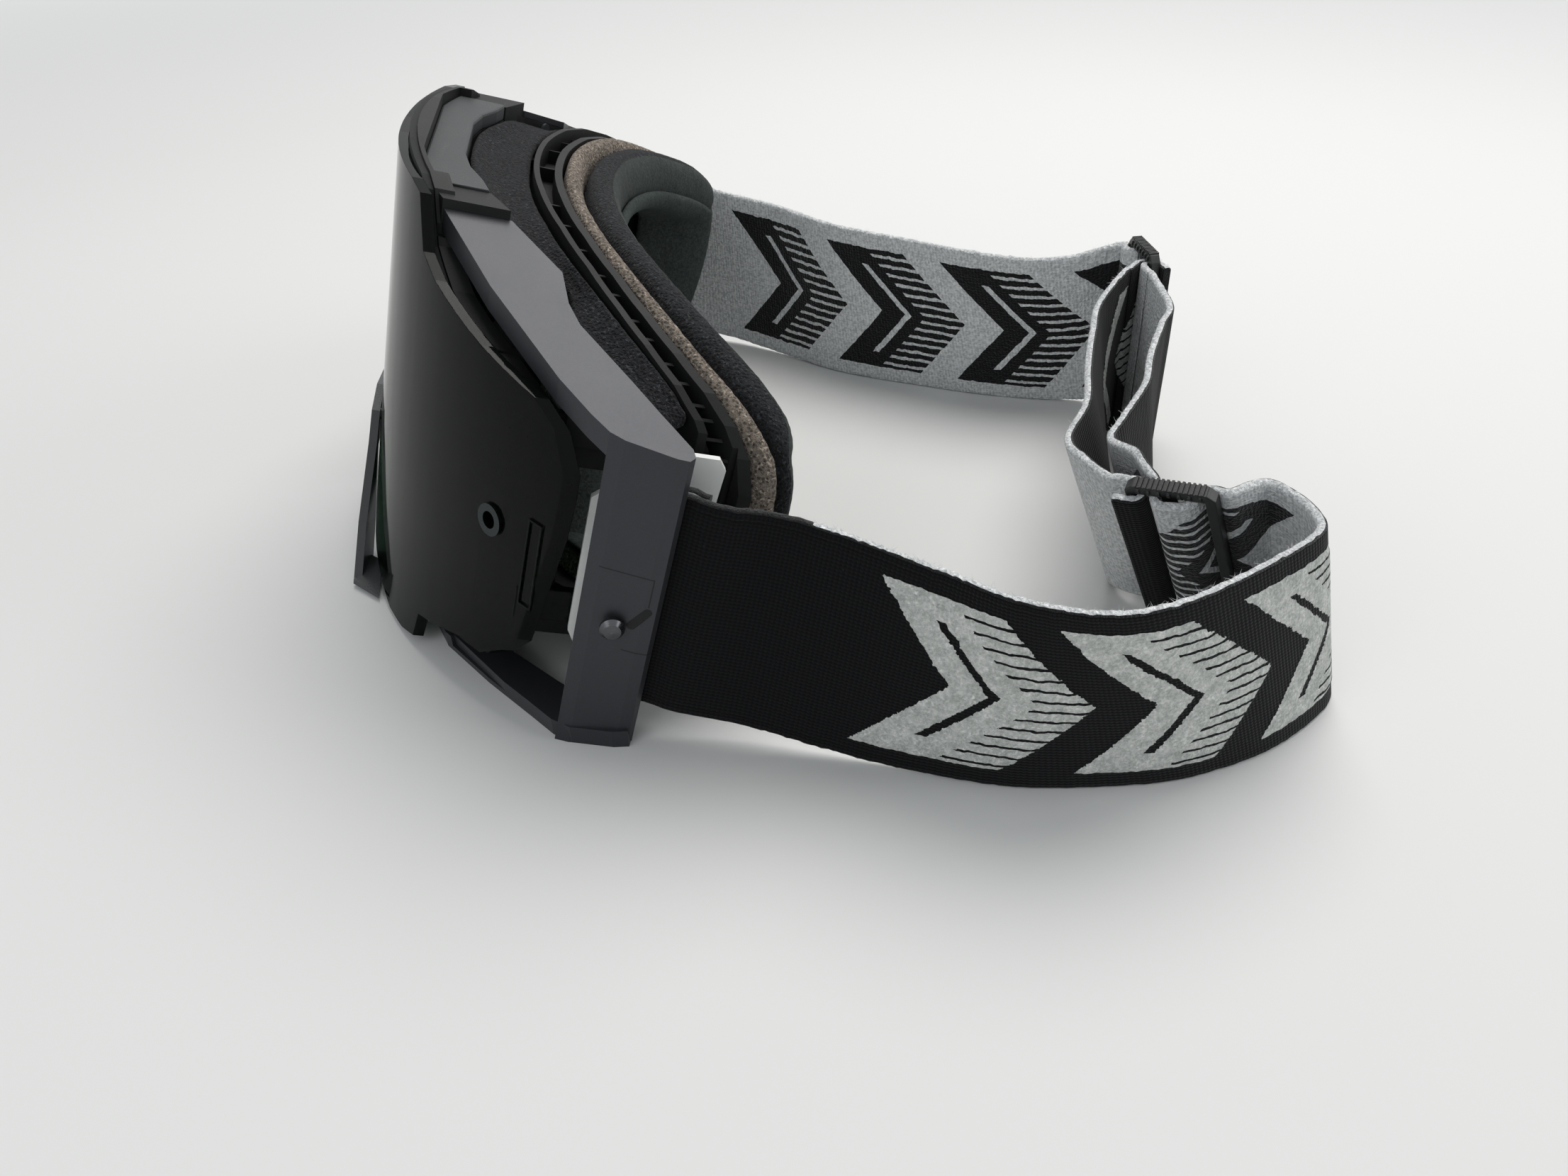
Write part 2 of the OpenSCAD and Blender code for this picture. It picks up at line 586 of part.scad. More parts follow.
module rivet(s) {
    color("#3a3c3e") stand(s) at_rivet() {
        translate([0, 0, -0.7]) cylinder(d = rivet_d + 1, h = 0.65);
        translate([0, 0, -0.1]) cylinder(d = rivet_d - 2 * fit, h = 5);
    }
}
module arm_rivets() {
    for (s = [-1, 1]) rivet(s);
}
module stud(s) {
    color("#b9bcbf") stand(s) translate([93.2, 55.6, 46]) rotate([0, 90, 0]) {
        translate([0, 0, -2]) cylinder(d = 2.4, h = 3);
        rotate_extrude() polygon([[0, 0.6], [stud_d / 2, 0.6], [stud_d / 2, 1.2],
            [stud_d / 2 - 0.7, 2.1], [0, 2.4]]);
    }
}
module stud_left() {
    stud(1);
}
module stud_right() {
    stud(-1);
}

module lock_lever(s) {
    color("#f2f2ee") stand(s) difference() {
        union() {
            post(pin_x, pin_y, lever_low, lever_high, barrel_d);
            // plate with its front strip and its rear thumb tab
            translate([plate_in, 0, 0]) rotate([90, 0, 90]) linear_extrude(lever_t)
                polygon([[lever_front, 37], [50.6, 33.6], [57, 32], [62, 36], [64, 58], [71, 68],
                    [71.4, 75.6], [70, 77.6], [64.6, 77.6], [62, 70], [57, 69.4], [51, 68.4],
                    [lever_front, 66.6]]);
        }
        post(pin_x, pin_y, 0, 90, bore_d);
    }
}
module lock_lever_left() {
    lock_lever(1);
}
module lock_lever_right() {
    lock_lever(-1);
}
module lever_pin(s) {
    color("#9a9da0") stand(s) post(pin_x, pin_y, lever_low - 3.3, lever_high + 3.3, pin_d);
}
module lever_pin_left() {
    lever_pin(1);
}
module lever_pin_right() {
    lever_pin(-1);
}
module strap_bar(s) {
    color("#6b6e70") stand(s) post(bar_x, bar_y, 19, 82.3, bar_d);
}
module strap_bar_left() {
    strap_bar(1);
}
module strap_bar_right() {
    strap_bar(-1);
}

// Shield of the nose guard between its outer and inner edges, from one foot to the other
module guard_shield() {
    outer = [[0, 0, 40.4], [11, 0.3, 39.2], [15.5, 0.5, 33.5], [23, 0, 16], [31, 0.5, 4.2]];
    inner = [[0, 0, 31], [8.6, 0.2, 28.6], [11, 0.6, 23], [15, 1.2, 13], [20, 1.7, 4.8]];
    back = [0, guard_t, 0];
    rows = [for (i = [-4:4]) let (o = outer[abs(i)], n = inner[abs(i)], m = [i < 0 ? -1 : 1, 1, 1])
        [turned(o, m), turned(o + back, m), turned(n + back, m), turned(n, m)]];
    translate([0, guard_y, 0])
        polyhedron(points = [for (w = rows) each w], faces = skin(len(rows), 4), convexity = 6);
}
module nose_guard() {
    color("#3b3d3f") stand() {
        guard_shield();
        for (s = [-1, 1]) side(s) {
            // foot that flares out under the lens
            translate([0, guard_y, 0]) hull() polyhedron(points = [[20, 1.7, 4.8], [31, 0.5, 4.2],
                [38, 6.9, 5.8], [24, 5.9, 5.7], [20, 1.7, 6], [31, 0.5, 5.6], [38, 6.9, 6.4],
                [24, 5.9, 6.8]], faces = [[0, 1, 2, 3], [7, 6, 5, 4], [0, 4, 5, 1], [1, 5, 6, 2],
                [2, 6, 7, 3], [3, 7, 4, 0]]);
            translate([8.4, guard_y + guard_t / 2, 37.2]) rotate([-90, 0, 0]) cylinder(d = peg_d, h = 5);
        }
    }
}

module foam_base_layer() {
    section = [[1, 0.05], [0.6, foam_base * 0.4], [2.6, foam_base], [14, foam_base], [14, 0.05]];
    color("#8a8175") stand() foam_ring(section, section, 3);
}
module foam_dark_layer() {
    t = foam_base + foam_gap;
    m = foam_mid;
    color("#33363a") stand() foam_ring([[2.7, t], [1.9, t + m * 0.35], [2.5, t + m * 0.7],
        [5.5, t + m * 0.93], [10.5, t + m], [14.4, t + m * 0.92], [15, t + m * 0.3], [14.2, t]],
        [[2.7, t], [4.2, t + m * 0.3], [6.4, t + m * 0.5], [9, t + m * 0.68], [11.5, t + m * 0.78],
        [14.4, t + m * 0.74], [15, t + m * 0.3], [14.2, t]], 3);
}
module foam_fleece() {
    t = foam_base + foam_gap;
    m = foam_mid;
    color("#2c3634") stand() foam_ring([[10.5, t + m + 0.06], [11.6, t + m + fleece_t * 0.9],
        [14.6, t + m + fleece_t], [16.6, t + m - 1], [17, 0.4], [14.9, 0.4], [15.4, t + m * 0.3],
        [14.8, t + m * 0.96]],
        [[11.5, t + m * 0.78 + 0.06], [12.4, t + m * 0.78 + fleece_t * 0.9],
        [14.6, t + m * 0.76 + fleece_t], [16.6, t + m * 0.6], [17, 0.4], [14.9, 0.4],
        [15.4, t + m * 0.3], [14.8, t + m * 0.77]], 3);
}

// Webbing from the outrigger's bar, through its own slide, to the far slide
bar_loop = concat([[90.8, 68.4], [88.4, 63.8], [85.8, 60.2]],
    [for (a = [180:45:360]) [bar_x + loop_r * cos(a), bar_y + loop_r * sin(a)]],
    [[90.6, 61], [91.6, 65], [93.8, 71]]);
module strap_left() {
    path = concat([for (p = bar_loop) on_bar(p, 1)], left_run,
        [for (p = thread_pts) on_slide(-p, slide_left_at, slide_left_turn)], middle_left,
        [for (p = wrap_pts) on_slide(p, slide_right_at, slide_right_turn)]);
    color("#17181a") ribbon(smooth_run(path, 2));
}
module strap_right() {
    path = concat([for (p = bar_loop) on_bar(p, -1)], right_run,
        [for (p = thread_pts) on_slide(p, slide_right_at, slide_right_turn)], middle_right,
        [for (p = wrap_pts) on_slide(-p, slide_left_at, slide_left_turn)]);
    color("#17181a") ribbon(smooth_run(path, 2));
}
// Slide with two slots and three bars
module slide() {
    rotate([90, 0, 0]) linear_extrude(slide_t, center = true) difference() {
        square([2 * slide_end, slide_h], center = true);
        // cut corners
        for (a = [0:3]) translate([(a % 2 - 0.5) * 2 * slide_end, (a > 1 ? 1 : -1) * slide_h / 2])
            rotate(45) square(2.2, center = true);
        for (s = [-1, 1]) translate([s * (slide_mid + slide_slot) / 2, 0])
            square([slide_slot - slide_mid, strap_w + 0.8], center = true);
    }
    // grip ribs across both ends
    for (k = [-3:3], s = [-1, 1]) translate([k * 1.9, 0, s * (slide_h + strap_w + 0.8) / 4])
        cube([0.7, slide_t + 0.7, 1.2], center = true);
}
module slide_left() {
    color("#141618") table() translate(slide_left_at) rotate(slide_left_turn) slide();
}
module slide_right() {
    color("#141618") table() translate(slide_right_at) rotate(slide_right_turn) slide();
}

main_frame();
face_flange();
top_pad();
top_vent_foam();
lens();
lens_gasket();
vent_ring_left();
vent_ring_right();
outrigger_left();
outrigger_right();
arm_rivets();
stud_left();
stud_right();
lock_lever_left();
lock_lever_right();
lever_pin_left();
lever_pin_right();
nose_guard();
foam_base_layer();
foam_dark_layer();
foam_fleece();
strap_bar_left();
strap_bar_right();
strap_left();
strap_right();
slide_left();
slide_right();
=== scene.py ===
"""Dresses a pair of motocross goggles that stand on a table with their strap drawn out."""
import math
import bpy
import bmesh
from bpy.props import FloatProperty, FloatVectorProperty, IntProperty
from mathutils import Euler, Matrix, Vector, noise


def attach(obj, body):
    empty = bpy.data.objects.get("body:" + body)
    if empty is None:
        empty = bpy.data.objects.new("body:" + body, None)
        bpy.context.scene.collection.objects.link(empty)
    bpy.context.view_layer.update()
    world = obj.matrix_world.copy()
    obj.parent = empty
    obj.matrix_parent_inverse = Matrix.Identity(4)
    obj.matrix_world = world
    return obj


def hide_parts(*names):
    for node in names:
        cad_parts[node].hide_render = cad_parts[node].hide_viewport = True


bl_info = {
    "name": "Motocross goggles",
    "version": (1, 0, 0),
    "blender": (4, 5, 0),
    "location": "View3D > Sidebar > Goggles",
    "description": "Finishes the frame, lens, foams and webbing of a pair of goggles",
    "category": "Object",
}

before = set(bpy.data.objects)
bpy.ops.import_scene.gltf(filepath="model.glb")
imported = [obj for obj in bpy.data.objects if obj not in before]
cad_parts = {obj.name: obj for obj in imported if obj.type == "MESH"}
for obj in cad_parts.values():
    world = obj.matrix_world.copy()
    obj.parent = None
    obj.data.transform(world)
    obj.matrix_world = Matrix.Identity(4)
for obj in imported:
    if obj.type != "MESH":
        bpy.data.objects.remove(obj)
MM = 0.001
# How the upright goggles lean back and are let down on the table, and where the frame's origin
# lies in the part's own millimetres
LEAN = math.radians(14.8)
DROP = 2.0
ORIGIN = Vector((13.6, 108.9, 0.0))
# The rounding of the solids' hard edges
WELD_REACH = 1e-6
HARD_ANGLE = math.radians(38)
STRAP_WIDTH = 45.5
STRAP_THICK = 1.8
# The strap's map spans its width and this much of its length
MAP_LENGTH = 400.0
# The strap's mesh: its stations' distance, its columns and its rounded edge, as how far the edge
# stands out at shares of half the thickness
STATION_STEP = 0.8
COLUMNS = 54
BULGE = ((0.34, 0.62), (0.46, 0.0), (0.34, -0.62))
# How far the webbing ripples, how far its edges waver, and the lining's edges besides
RIPPLE = 0.10
WAVE = 0.22
LINING_WAVE = 0.3
# The weave's ribs along the strap and its threads across, and the selvedge's way in from the edge
RIB_PITCH = 0.9
WEFT_PITCH = 0.75
SELVEDGE = 1.7
# The strap's motif, in millimetres along the strap from its outrigger's bar
MOTIF_FROM = 80.0
MOTIF_TO = 230.0
CHEVRON_STEP = 36.0
CHEVRON_THICK = 25.0
CHEVRON_SLIT = 8.0
CHEVRON_HALF = 18.6
CHEVRON_SLOPE = 0.85
SLIT_HALF = 1.0
SLIT_MARGIN = 5.0
STRIPE_PITCH = 2.6
MOTIF_LIFT = 0.22
MOTIF_RIM = 0.7
# The pale lining shows at the strap's edges from here on, with loose filaments along the upper one
LINING_FROM = 48.0
FILAMENT_LENGTH = 1.5
FILAMENT_THICK = 0.05
FILAMENT_ABOVE = 0.2
FILAMENT_BEHIND = 0.55
# The grip ribs across each end of a slide
GRIP_COUNT = 14
GRIP_STEP = 0.95
GRIP_REACH = 25.5
GRIP_SIZE = (0.48, 2.5, 0.7)
# The lumps and the grain of cut foam
LUMP_SIZE = 9.0
GRAIN_SIZE = 1.3
# The stud on the left outrigger, from which its slot and parting lines are placed,
# in millimetres towards the wearer and up
STUD_AT = (-43.4, 28.3)
SLOT_AT = (4.5, 2.6)
SLOT_TILT = math.radians(56)
SLOT_HALF = 2.1
SLOT_RADIUS = 0.866
SEAM_HALF = 0.14
# The photograph's width and the camera that was solved from it, in pixels, millimetres and degrees
PHOTO_WIDTH = 2212
FOCAL_PIXELS = 1656
CAMERA_AT = (264.6, 73.3, 157.7)
CAMERA_TURN = 82.1
CAMERA_TILT = 35.8
CAMERA_ROLL = -1.0
# The background's colour, and the point that the lamps aim at, in metres
PALE = (0.86, 0.87, 0.87, 1.0)
LAMP_AIM = Vector((0, 0, 0.03))


# Shader maths

def colour(code):
    """A written colour, such as #1d1f21, as linear numbers."""
    parts = [int(code[i:i + 2], 16) / 255 for i in (1, 3, 5)]
    return tuple(p / 12.92 if p <= 0.04045 else ((p + 0.055) / 1.055) ** 2.4 for p in parts) + (1.0,)


class Wire:
    """A socket whose arithmetic adds Math nodes."""

    def __init__(self, kit, socket):
        self.kit = kit
        self.socket = socket

    def _math(self, operation, *others):
        inputs = dict(enumerate((self,) + others))
        return self.kit.node("ShaderNodeMath", {"operation": operation}, inputs)[0]

    def __add__(self, other):
        return self._math("ADD", other)

    __radd__ = __add__

    def __sub__(self, other):
        return self._math("SUBTRACT", other)

    def __rsub__(self, other):
        return self.kit.node("ShaderNodeMath", {"operation": "SUBTRACT"}, {0: other, 1: self})[0]

    def __mul__(self, other):
        return self._math("MULTIPLY", other)

    __rmul__ = __mul__

    def __gt__(self, other):
        return self._math("GREATER_THAN", other)

    def __lt__(self, other):
        return self._math("LESS_THAN", other)

    def __mod__(self, other):
        return self._math("FLOORED_MODULO", other)

    def __abs__(self):
        return self._math("ABSOLUTE")

    def sin(self):
        return self._math("SINE")

    def power(self, other):
        return self._math("POWER", other)

    def least(self, other):
        return self._math("MINIMUM", other)

    def most(self, other):
        return self._math("MAXIMUM", other)

    def held(self):
        """Kept between 0 and 1."""
        return self.most(0.0).least(1.0)


class Nodes:
    """Adds nodes to one tree."""

    def __init__(self, tree):
        self.tree = tree

    def node(self, kind, settings=None, inputs=None):
        """A new node, as the list of its outputs."""
        made = self.tree.nodes.new(kind)
        for key, value in (settings or {}).items():
            setattr(made, key, value)
        for key, value in (inputs or {}).items():
            self.feed(made.inputs[key], value)
        return [Wire(self, s) for s in made.outputs]

    def feed(self, socket, value):
        """Sets a socket or links it, to each wire of a list."""
        for part in value if isinstance(value, list) else [value]:
            if isinstance(part, Wire):
                self.tree.links.new(part.socket, socket)
            else:
                socket.default_value = part

    def seen(self):
        """Mask of the rays that show the background: straight, mirrored or through the lens."""
        rays = self.node("ShaderNodeLightPath")
        return rays[0].most(rays[3]).most(rays[6])


class Finish(Nodes):
    """Builds one material from its nodes."""

    def __init__(self, name):
        self.material = bpy.data.materials.new(name)
        self.material.use_nodes = True
        super().__init__(self.material.node_tree)
        self.shader = self.tree.nodes["Principled BSDF"]
        self.output = self.tree.nodes["Material Output"]

    def place(self):
        return self.node("ShaderNodeTexCoord")[3]

    def uv(self):
        return self.node("ShaderNodeTexCoord")[2]

    def split(self, vector):
        return self.node("ShaderNodeSeparateXYZ", None, {0: vector})

    def stretched(self, vector, scale, turn=(0, 0, 0)):
        inputs = {"Vector": vector, "Scale": scale, "Rotation": turn}
        return self.node("ShaderNodeMapping", None, inputs)[0]

    def noise(self, vector, scale, detail=3.0, rough=0.55):
        inputs = {"Vector": vector, "Scale": scale, "Detail": detail, "Roughness": rough}
        return self.node("ShaderNodeTexNoise", None, inputs)[0]

    def cells(self, vector, scale):
        return self.node("ShaderNodeTexVoronoi", None, {"Vector": vector, "Scale": scale})[0]

    def mix(self, factor, a, b):
        """Colour a where the factor is 0 and b where it is 1."""
        return self.node("ShaderNodeMix", {"data_type": "RGBA"}, {0: factor, 6: a, 7: b})[2]

    def range(self, value, a, b, low=0.0, high=1.0):
        """The value's way from a to b, as low to high."""
        return self.node("ShaderNodeMapRange", None, {0: value, 1: a, 2: b, 3: low, 4: high})[0]

    def bump(self, height, strength, distance):
        inputs = {"Height": height, "Strength": strength, "Distance": distance}
        return self.node("ShaderNodeBump", None, inputs)[0]

    def set(self, **values):
        """Sets or links the main shader's sockets and gives the material."""
        names = {"base": "Base Color", "rough": "Roughness", "metal": "Metallic", "normal": "Normal",
                 "specular": "Specular IOR Level", "sheen": "Sheen Weight",
                 "sheen_rough": "Sheen Roughness", "sheen_tint": "Sheen Tint"}
        for key, value in values.items():
            self.feed(self.shader.inputs[names[key]], value)
        return self.material

    def blend(self, factor, other):
        """Mixes another shader over the main one by a factor and gives the material."""
        main = Wire(self, self.shader.outputs[0])
        both = self.node("ShaderNodeMixShader", None, {0: factor, 1: main, 2: other})[0]
        self.feed(self.output.inputs["Surface"], both)
        return self.material


# Finishes

def moulded_plastic(name, code, rough, specular=0.5, grain=0.06, scuff=0.05):
    """Moulded plastic with a fine spark-eroded grain and faint handling marks."""
    f = Finish(name)
    p = f.place()
    fine = f.noise(p, 2600, 2.0)
    broad = f.noise(p, 60, 3.0)
    streaks = f.noise(f.stretched(p, (40, 420, 300), (0.4, 0.2, 0.7)), 1.0, 4.0, 0.7)
    marks = f.range(streaks, 0.60, 0.72)
    base = colour(code)
    light = tuple(min(1.0, c * 1.35 + 0.004) for c in base[:3]) + (1.0,)
    tint = f.mix((broad * 0.5 + marks * scuff * 4).held(), base, light)
    roughness = rough + (broad - 0.5) * 0.12 + (fine - 0.5) * 0.08 - marks * scuff
    return f.set(base=tint, rough=roughness.held(), specular=specular,
                 normal=f.bump(fine, grain, 0.0004))


def satin_paint(name, code):
    """Metallic grey finish of the outriggers: fine flakes in a satin plastic, with painted shade in the
    slot beside the stud and dark parting lines.
    """
    f = Finish(name)
    p = f.place()
    flake = f.cells(p, 3800)
    fine = f.noise(p, 1800, 2.0)
    broad = f.noise(p, 45, 4.0, 0.6)
    base = colour(code)
    light = tuple(min(1.0, c * 1.5) for c in base[:3]) + (1.0,)
    tint = f.mix((broad * 0.55 + f.range(flake, 0.0, 0.5, 0.35, 0.0)).held(), base, light)
    slot, seam = stud_marks(f)
    # the slot is painted near-black as painted shade in its recess; the parting lines are darkened as dark
    # joints
    tint = f.mix((slot * 0.85 + seam * 0.6).held(), tint, colour("#050506"))
    roughness = 0.42 + (broad - 0.5) * 0.14 + (fine - 0.5) * 0.08
    return f.set(base=tint, metal=0.5, rough=roughness.held(), specular=0.5,
                 normal=f.bump(fine * 0.05 - slot - seam, 1.0, 0.0003))


def stud_marks(f):
    """Masks of the short slot beside the stud and of the parting lines round it."""
    _, y, z = f.split(f.place())
    y, z = y * (1 / MM) - STUD_AT[0], z * (1 / MM) - STUD_AT[1]
    back = y * math.cos(LEAN) - z * math.sin(LEAN)
    up = y * math.sin(LEAN) + z * math.cos(LEAN)
    behind, above = back - SLOT_AT[0], up - SLOT_AT[1]
    run = behind * math.cos(SLOT_TILT) + above * math.sin(SLOT_TILT)
    aside = above * math.cos(SLOT_TILT) - behind * math.sin(SLOT_TILT)
    over = (abs(run) - SLOT_HALF).most(0.0)
    slot = (over * over + aside * aside) < SLOT_RADIUS ** 2
    seam = 0.0
    # each line's place, its middle and half its length
    for level, length, place, middle, half in ((up, back, 11.5, 0.85, 4.9), (back, up, 5.7, 8.5, 3.0),
                                               (up, back, -5.0, 7.2, 4.8)):
        seam = seam + (abs(level - place) < SEAM_HALF) * (abs(length - middle) < half)
    return slot, seam


def turned_metal(name, code, rough):
    """Bare metal with fine turning lines."""
    f = Finish(name)
    p = f.place()
    lines = f.noise(f.stretched(p, (300, 300, 4000)), 1.0, 3.0)
    base = colour(code)
    dull = tuple(c * 0.72 for c in base[:3]) + (1.0,)
    roughness = rough + (lines - 0.5) * 0.2
    return f.set(base=f.mix(lines, dull, base), metal=1.0, rough=roughness.held(),
                 normal=f.bump(lines, 0.05, 0.0002))


def smoked_lens(name, code, clear):
    """Dark see-through lens, glossy, with faint smears and dust."""
    f = Finish(name)
    p = f.place()
    smear = f.noise(f.stretched(p, (18, 18, 60), (0.3, 0.0, 0.5)), 1.0, 4.0, 0.6)
    dust = f.range(f.cells(p, 420), 0.0, 0.055, 1.0, 0.0)
    base = f.mix(dust * 0.35, colour(code), colour("#6b7470"))
    f.set(base=base, rough=(0.03 + smear * 0.05 + dust * 0.2).held(), specular=0.25)
    glance = f.node("ShaderNodeFresnel", None, {"IOR": 1.5})[0]
    see = f.node("ShaderNodeBsdfTransparent", None, {"Color": colour("#93ab9c")})[0]
    return f.blend(((1.0 - glance) * (1.0 - dust * 0.5) * clear).held(), see)


def fleece_nap(f):
    """Tint and height of a short brushed nap."""
    p = f.place()
    nap = f.range(f.noise(p, 1700, 4.0, 0.75), 0.35, 0.65)
    tufts = f.noise(p, 600, 3.0)
    broad = f.noise(p, 60, 2.0)
    pale = (nap * 0.45 + tufts * 0.45 + (broad - 0.5) * 0.4).held()
    tint = f.mix(pale, colour("#1d2120"), colour("#505755"))
    return tint, nap * 0.5 + tufts


def open_foam(name, dark, light, cell, contrast, covered=False):
    """Open-cell foam: rounded pores with pale strands between them, and pale speckles that are painted
    glints. Where it is covered, fleece lies over the face that meets the wearer."""
    f = Finish(name)
    p = f.place()
    pore = f.cells(p, cell)
    small = f.cells(p, cell * 2.3)
    broad = f.noise(p, 90, 3.0)
    strand = f.range(pore, 0.2, 0.6) * 0.65 + f.range(small, 0.1, 0.6) * 0.35
    # spark: pale speckles painted in as glints on the cut cells, which also raise the bump a little
    spark = f.range(f.noise(p, cell * 1.1, 1.0), 0.58, 0.68)
    pale = (strand * contrast * 0.5 + (broad - 0.5) * 0.3 + spark * 0.7).held()
    tint = f.mix(pale, colour(dark), colour(light))
    height = strand + spark * 0.4
    if covered:
        facing = f.node("ShaderNodeAttribute", {"attribute_name": "facing"})[2]
        cover = f.range(facing + (f.noise(p, 700, 2.0) - 0.5) * 0.12, 0.54, 0.60)
        cloth, nap = fleece_nap(f)
        tint = f.mix(cover, tint, cloth)
        height = height * (1 - cover) + nap * cover
    return f.set(base=tint, rough=0.95, specular=0.15, sheen=0.04, sheen_rough=0.6,
                 normal=f.bump(height, 0.7, 0.0006))


def brushed_fleece(name):
    """Short-napped fleece laid over the foam."""
    f = Finish(name)
    tint, nap = fleece_nap(f)
    return f.set(base=tint, rough=1.0, specular=0.1, sheen=0.12, sheen_rough=0.5,
                 sheen_tint=colour("#8fa39a"), normal=f.bump(nap, 0.55, 0.0006))


def webbing(name):
    """Starts a webbing finish with its woven ground. Its measures are millimetres of the strap:
    along it, up its width with a little wander, and from its middle line."""
    f = Finish(name)
    u, v, _ = f.split(f.uv())
    across = u * STRAP_WIDTH
    along = v * MAP_LENGTH
    wander = (f.noise(f.place(), 420, 2.0) - 0.5) * 1.1
    rib = (along * (2 * math.pi / RIB_PITCH)).sin() * 0.5 + 0.5
    weft = (across * (2 * math.pi / WEFT_PITCH) + rib * 1.2).sin() * 0.5 + 0.5
    height = across + wander
    return f, {"along": along, "wander": wander, "weave": rib * 0.6 + weft * 0.4, "height": height,
               "slope": abs(height - STRAP_WIDTH / 2)}


def chevrons(w, wander, stripe, fade):
    """Mask of the strap's row of chevrons, whose far half breaks into thin stripes."""
    reach = w["along"] + wander + w["slope"] * CHEVRON_SLOPE
    phase = (reach - MOTIF_FROM) % CHEVRON_STEP
    broad = (phase < CHEVRON_THICK) * (w["slope"] < CHEVRON_HALF)
    slit = (abs(phase - CHEVRON_SLIT) < SLIT_HALF) * (w["slope"] < CHEVRON_HALF - SLIT_MARGIN)
    faded = (phase > fade) * ((w["height"] % STRIPE_PITCH) < stripe)
    run = (reach > MOTIF_FROM) * (reach < MOTIF_TO)
    return (broad * run * (1 - slit) * (1 - faded)).held()


def strap_outside(name):
    """Black face of the strap, with white flocked chevrons."""
    f, w = webbing(name)
    ragged = (f.noise(f.place(), 1700, 2.0) - 0.5) * 1.3
    flock = chevrons(w, w["wander"] + ragged, 0.6, 15.0)
    nap = f.range(f.noise(f.place(), 1500, 3.0, 0.7), 0.36, 0.64)
    clump = f.range(f.noise(f.place(), 420, 3.0), 0.35, 0.65)
    white = f.mix((nap * 0.6 + clump * 0.4).held(), colour("#b0b6b1"), colour("#fbfcf8"))
    selvedge = abs(w["slope"] - (STRAP_WIDTH / 2 - SELVEDGE)) < 0.3
    dark = f.mix((w["weave"] * (1 - selvedge * 0.5)).held(), colour("#030304"), colour("#101113"))
    lint = f.range(f.cells(f.place(), 300), 0.0, 0.045, 0.25, 0.0)
    ground = f.mix(lint, dark, colour("#6c7075"))
    height = w["weave"] * 0.25 + flock + nap * flock * 0.9 - selvedge * 0.4
    return f.set(base=f.mix(flock, ground, white), rough=0.95, specular=0.12, sheen=0.08,
                 sheen_rough=0.5, normal=f.bump(height, 0.8, 0.0007))


def strap_inside(name):
    """Pale lining face of the strap, with black woven chevrons."""
    f, w = webbing(name)
    motif = chevrons(w, 0.0, 0.9, 13.0)
    loops = f.range(f.noise(f.place(), 1300, 2.0), 0.38, 0.62)
    fuzz = f.noise(f.place(), 1500, 3.0, 0.7)
    light = (loops * 0.5 + fuzz * 0.2 + w["weave"] * 0.3).held()
    pale = f.mix(light, colour("#a2a6a8"), colour("#f2f4f4"))
    dark = f.mix(w["weave"], colour("#060708"), colour("#1a1b1d"))
    return f.set(base=f.mix(motif, pale, dark), rough=0.95, specular=0.15, sheen=0.2, sheen_rough=0.5,
                 normal=f.bump(w["weave"] * 0.4 + loops * 0.6, 0.6, 0.0006))


def fuzzy_edge(name, code, tip):
    """Cut edge of the webbing, with loose filaments."""
    f = Finish(name)
    p = f.place()
    nap = f.range(f.noise(p, 1500, 3.0, 0.8), 0.36, 0.64)
    return f.set(base=f.mix(nap, colour(code), colour(tip)), rough=1.0, specular=0.1, sheen=0.3,
                 normal=f.bump(nap, 0.6, 0.0005))


# Mesh helpers

def new_piece(name, bm=None):
    """An object of that name, whose mesh is taken from bm and is empty without one."""
    mesh = bpy.data.meshes.new(name)
    if bm is not None:
        bm.to_mesh(mesh)
        bm.free()
    piece = bpy.data.objects.new(name, mesh)
    bpy.context.scene.collection.objects.link(piece)
    return piece


def dressed(piece, material):
    """Gives the object's mesh this material and no other."""
    piece.data.materials.clear()
    piece.data.materials.append(material)


def plain(piece):
    """Turns the evaluated object into its own plain mesh, with no modifiers."""
    depsgraph = bpy.context.evaluated_depsgraph_get()
    mesh = bpy.data.meshes.new_from_object(piece.evaluated_get(depsgraph), depsgraph=depsgraph)
    old = piece.data
    piece.modifiers.clear()
    piece.data = mesh
    bpy.data.meshes.remove(old)
    return piece


def softened(node, name, swell, grain, seed):
    """A finer copy of a foam's solid, rounded off and with its cut surface roughened."""
    bm = bmesh.new()
    bm.from_mesh(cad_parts[node].data)
    bmesh.ops.remove_doubles(bm, verts=bm.verts, dist=2e-6)
    bmesh.ops.join_triangles(bm, faces=bm.faces, angle_face_threshold=0.6, angle_shape_threshold=0.7)
    piece = new_piece(name, bm)
    smooth = piece.modifiers.new("round", "SUBSURF")
    smooth.levels = smooth.render_levels = 2
    plain(piece)
    offset = Vector((seed, seed * 0.37, seed * 0.71))
    mesh = piece.data
    mesh.update()
    normals = [v.normal.copy() for v in mesh.vertices]
    # how squarely each spot faces the wearer
    wearer = Vector((0.0, math.cos(LEAN), -math.sin(LEAN)))
    facing = mesh.attributes.new("facing", "FLOAT", "POINT")
    facing.data.foreach_set("value", [n.dot(wearer) for n in normals])
    for v, n in zip(mesh.vertices, normals):
        p = v.co / MM
        wide = noise.noise(p / LUMP_SIZE + offset)
        fine = noise.noise(p / GRAIN_SIZE + offset)
        v.co += n * MM * (swell + grain * (0.6 * fine + 0.5 * wide))
    mesh.update()
    for polygon in mesh.polygons:
        polygon.use_smooth = True
    return piece


# The strap's route, in millimetres

# The outrigger's bar, the height of its middle and the radius of the strap's loop round it
BAR = (87.5, 58.0)
BAR_MIDDLE = 51
LOOP_R = 2.4
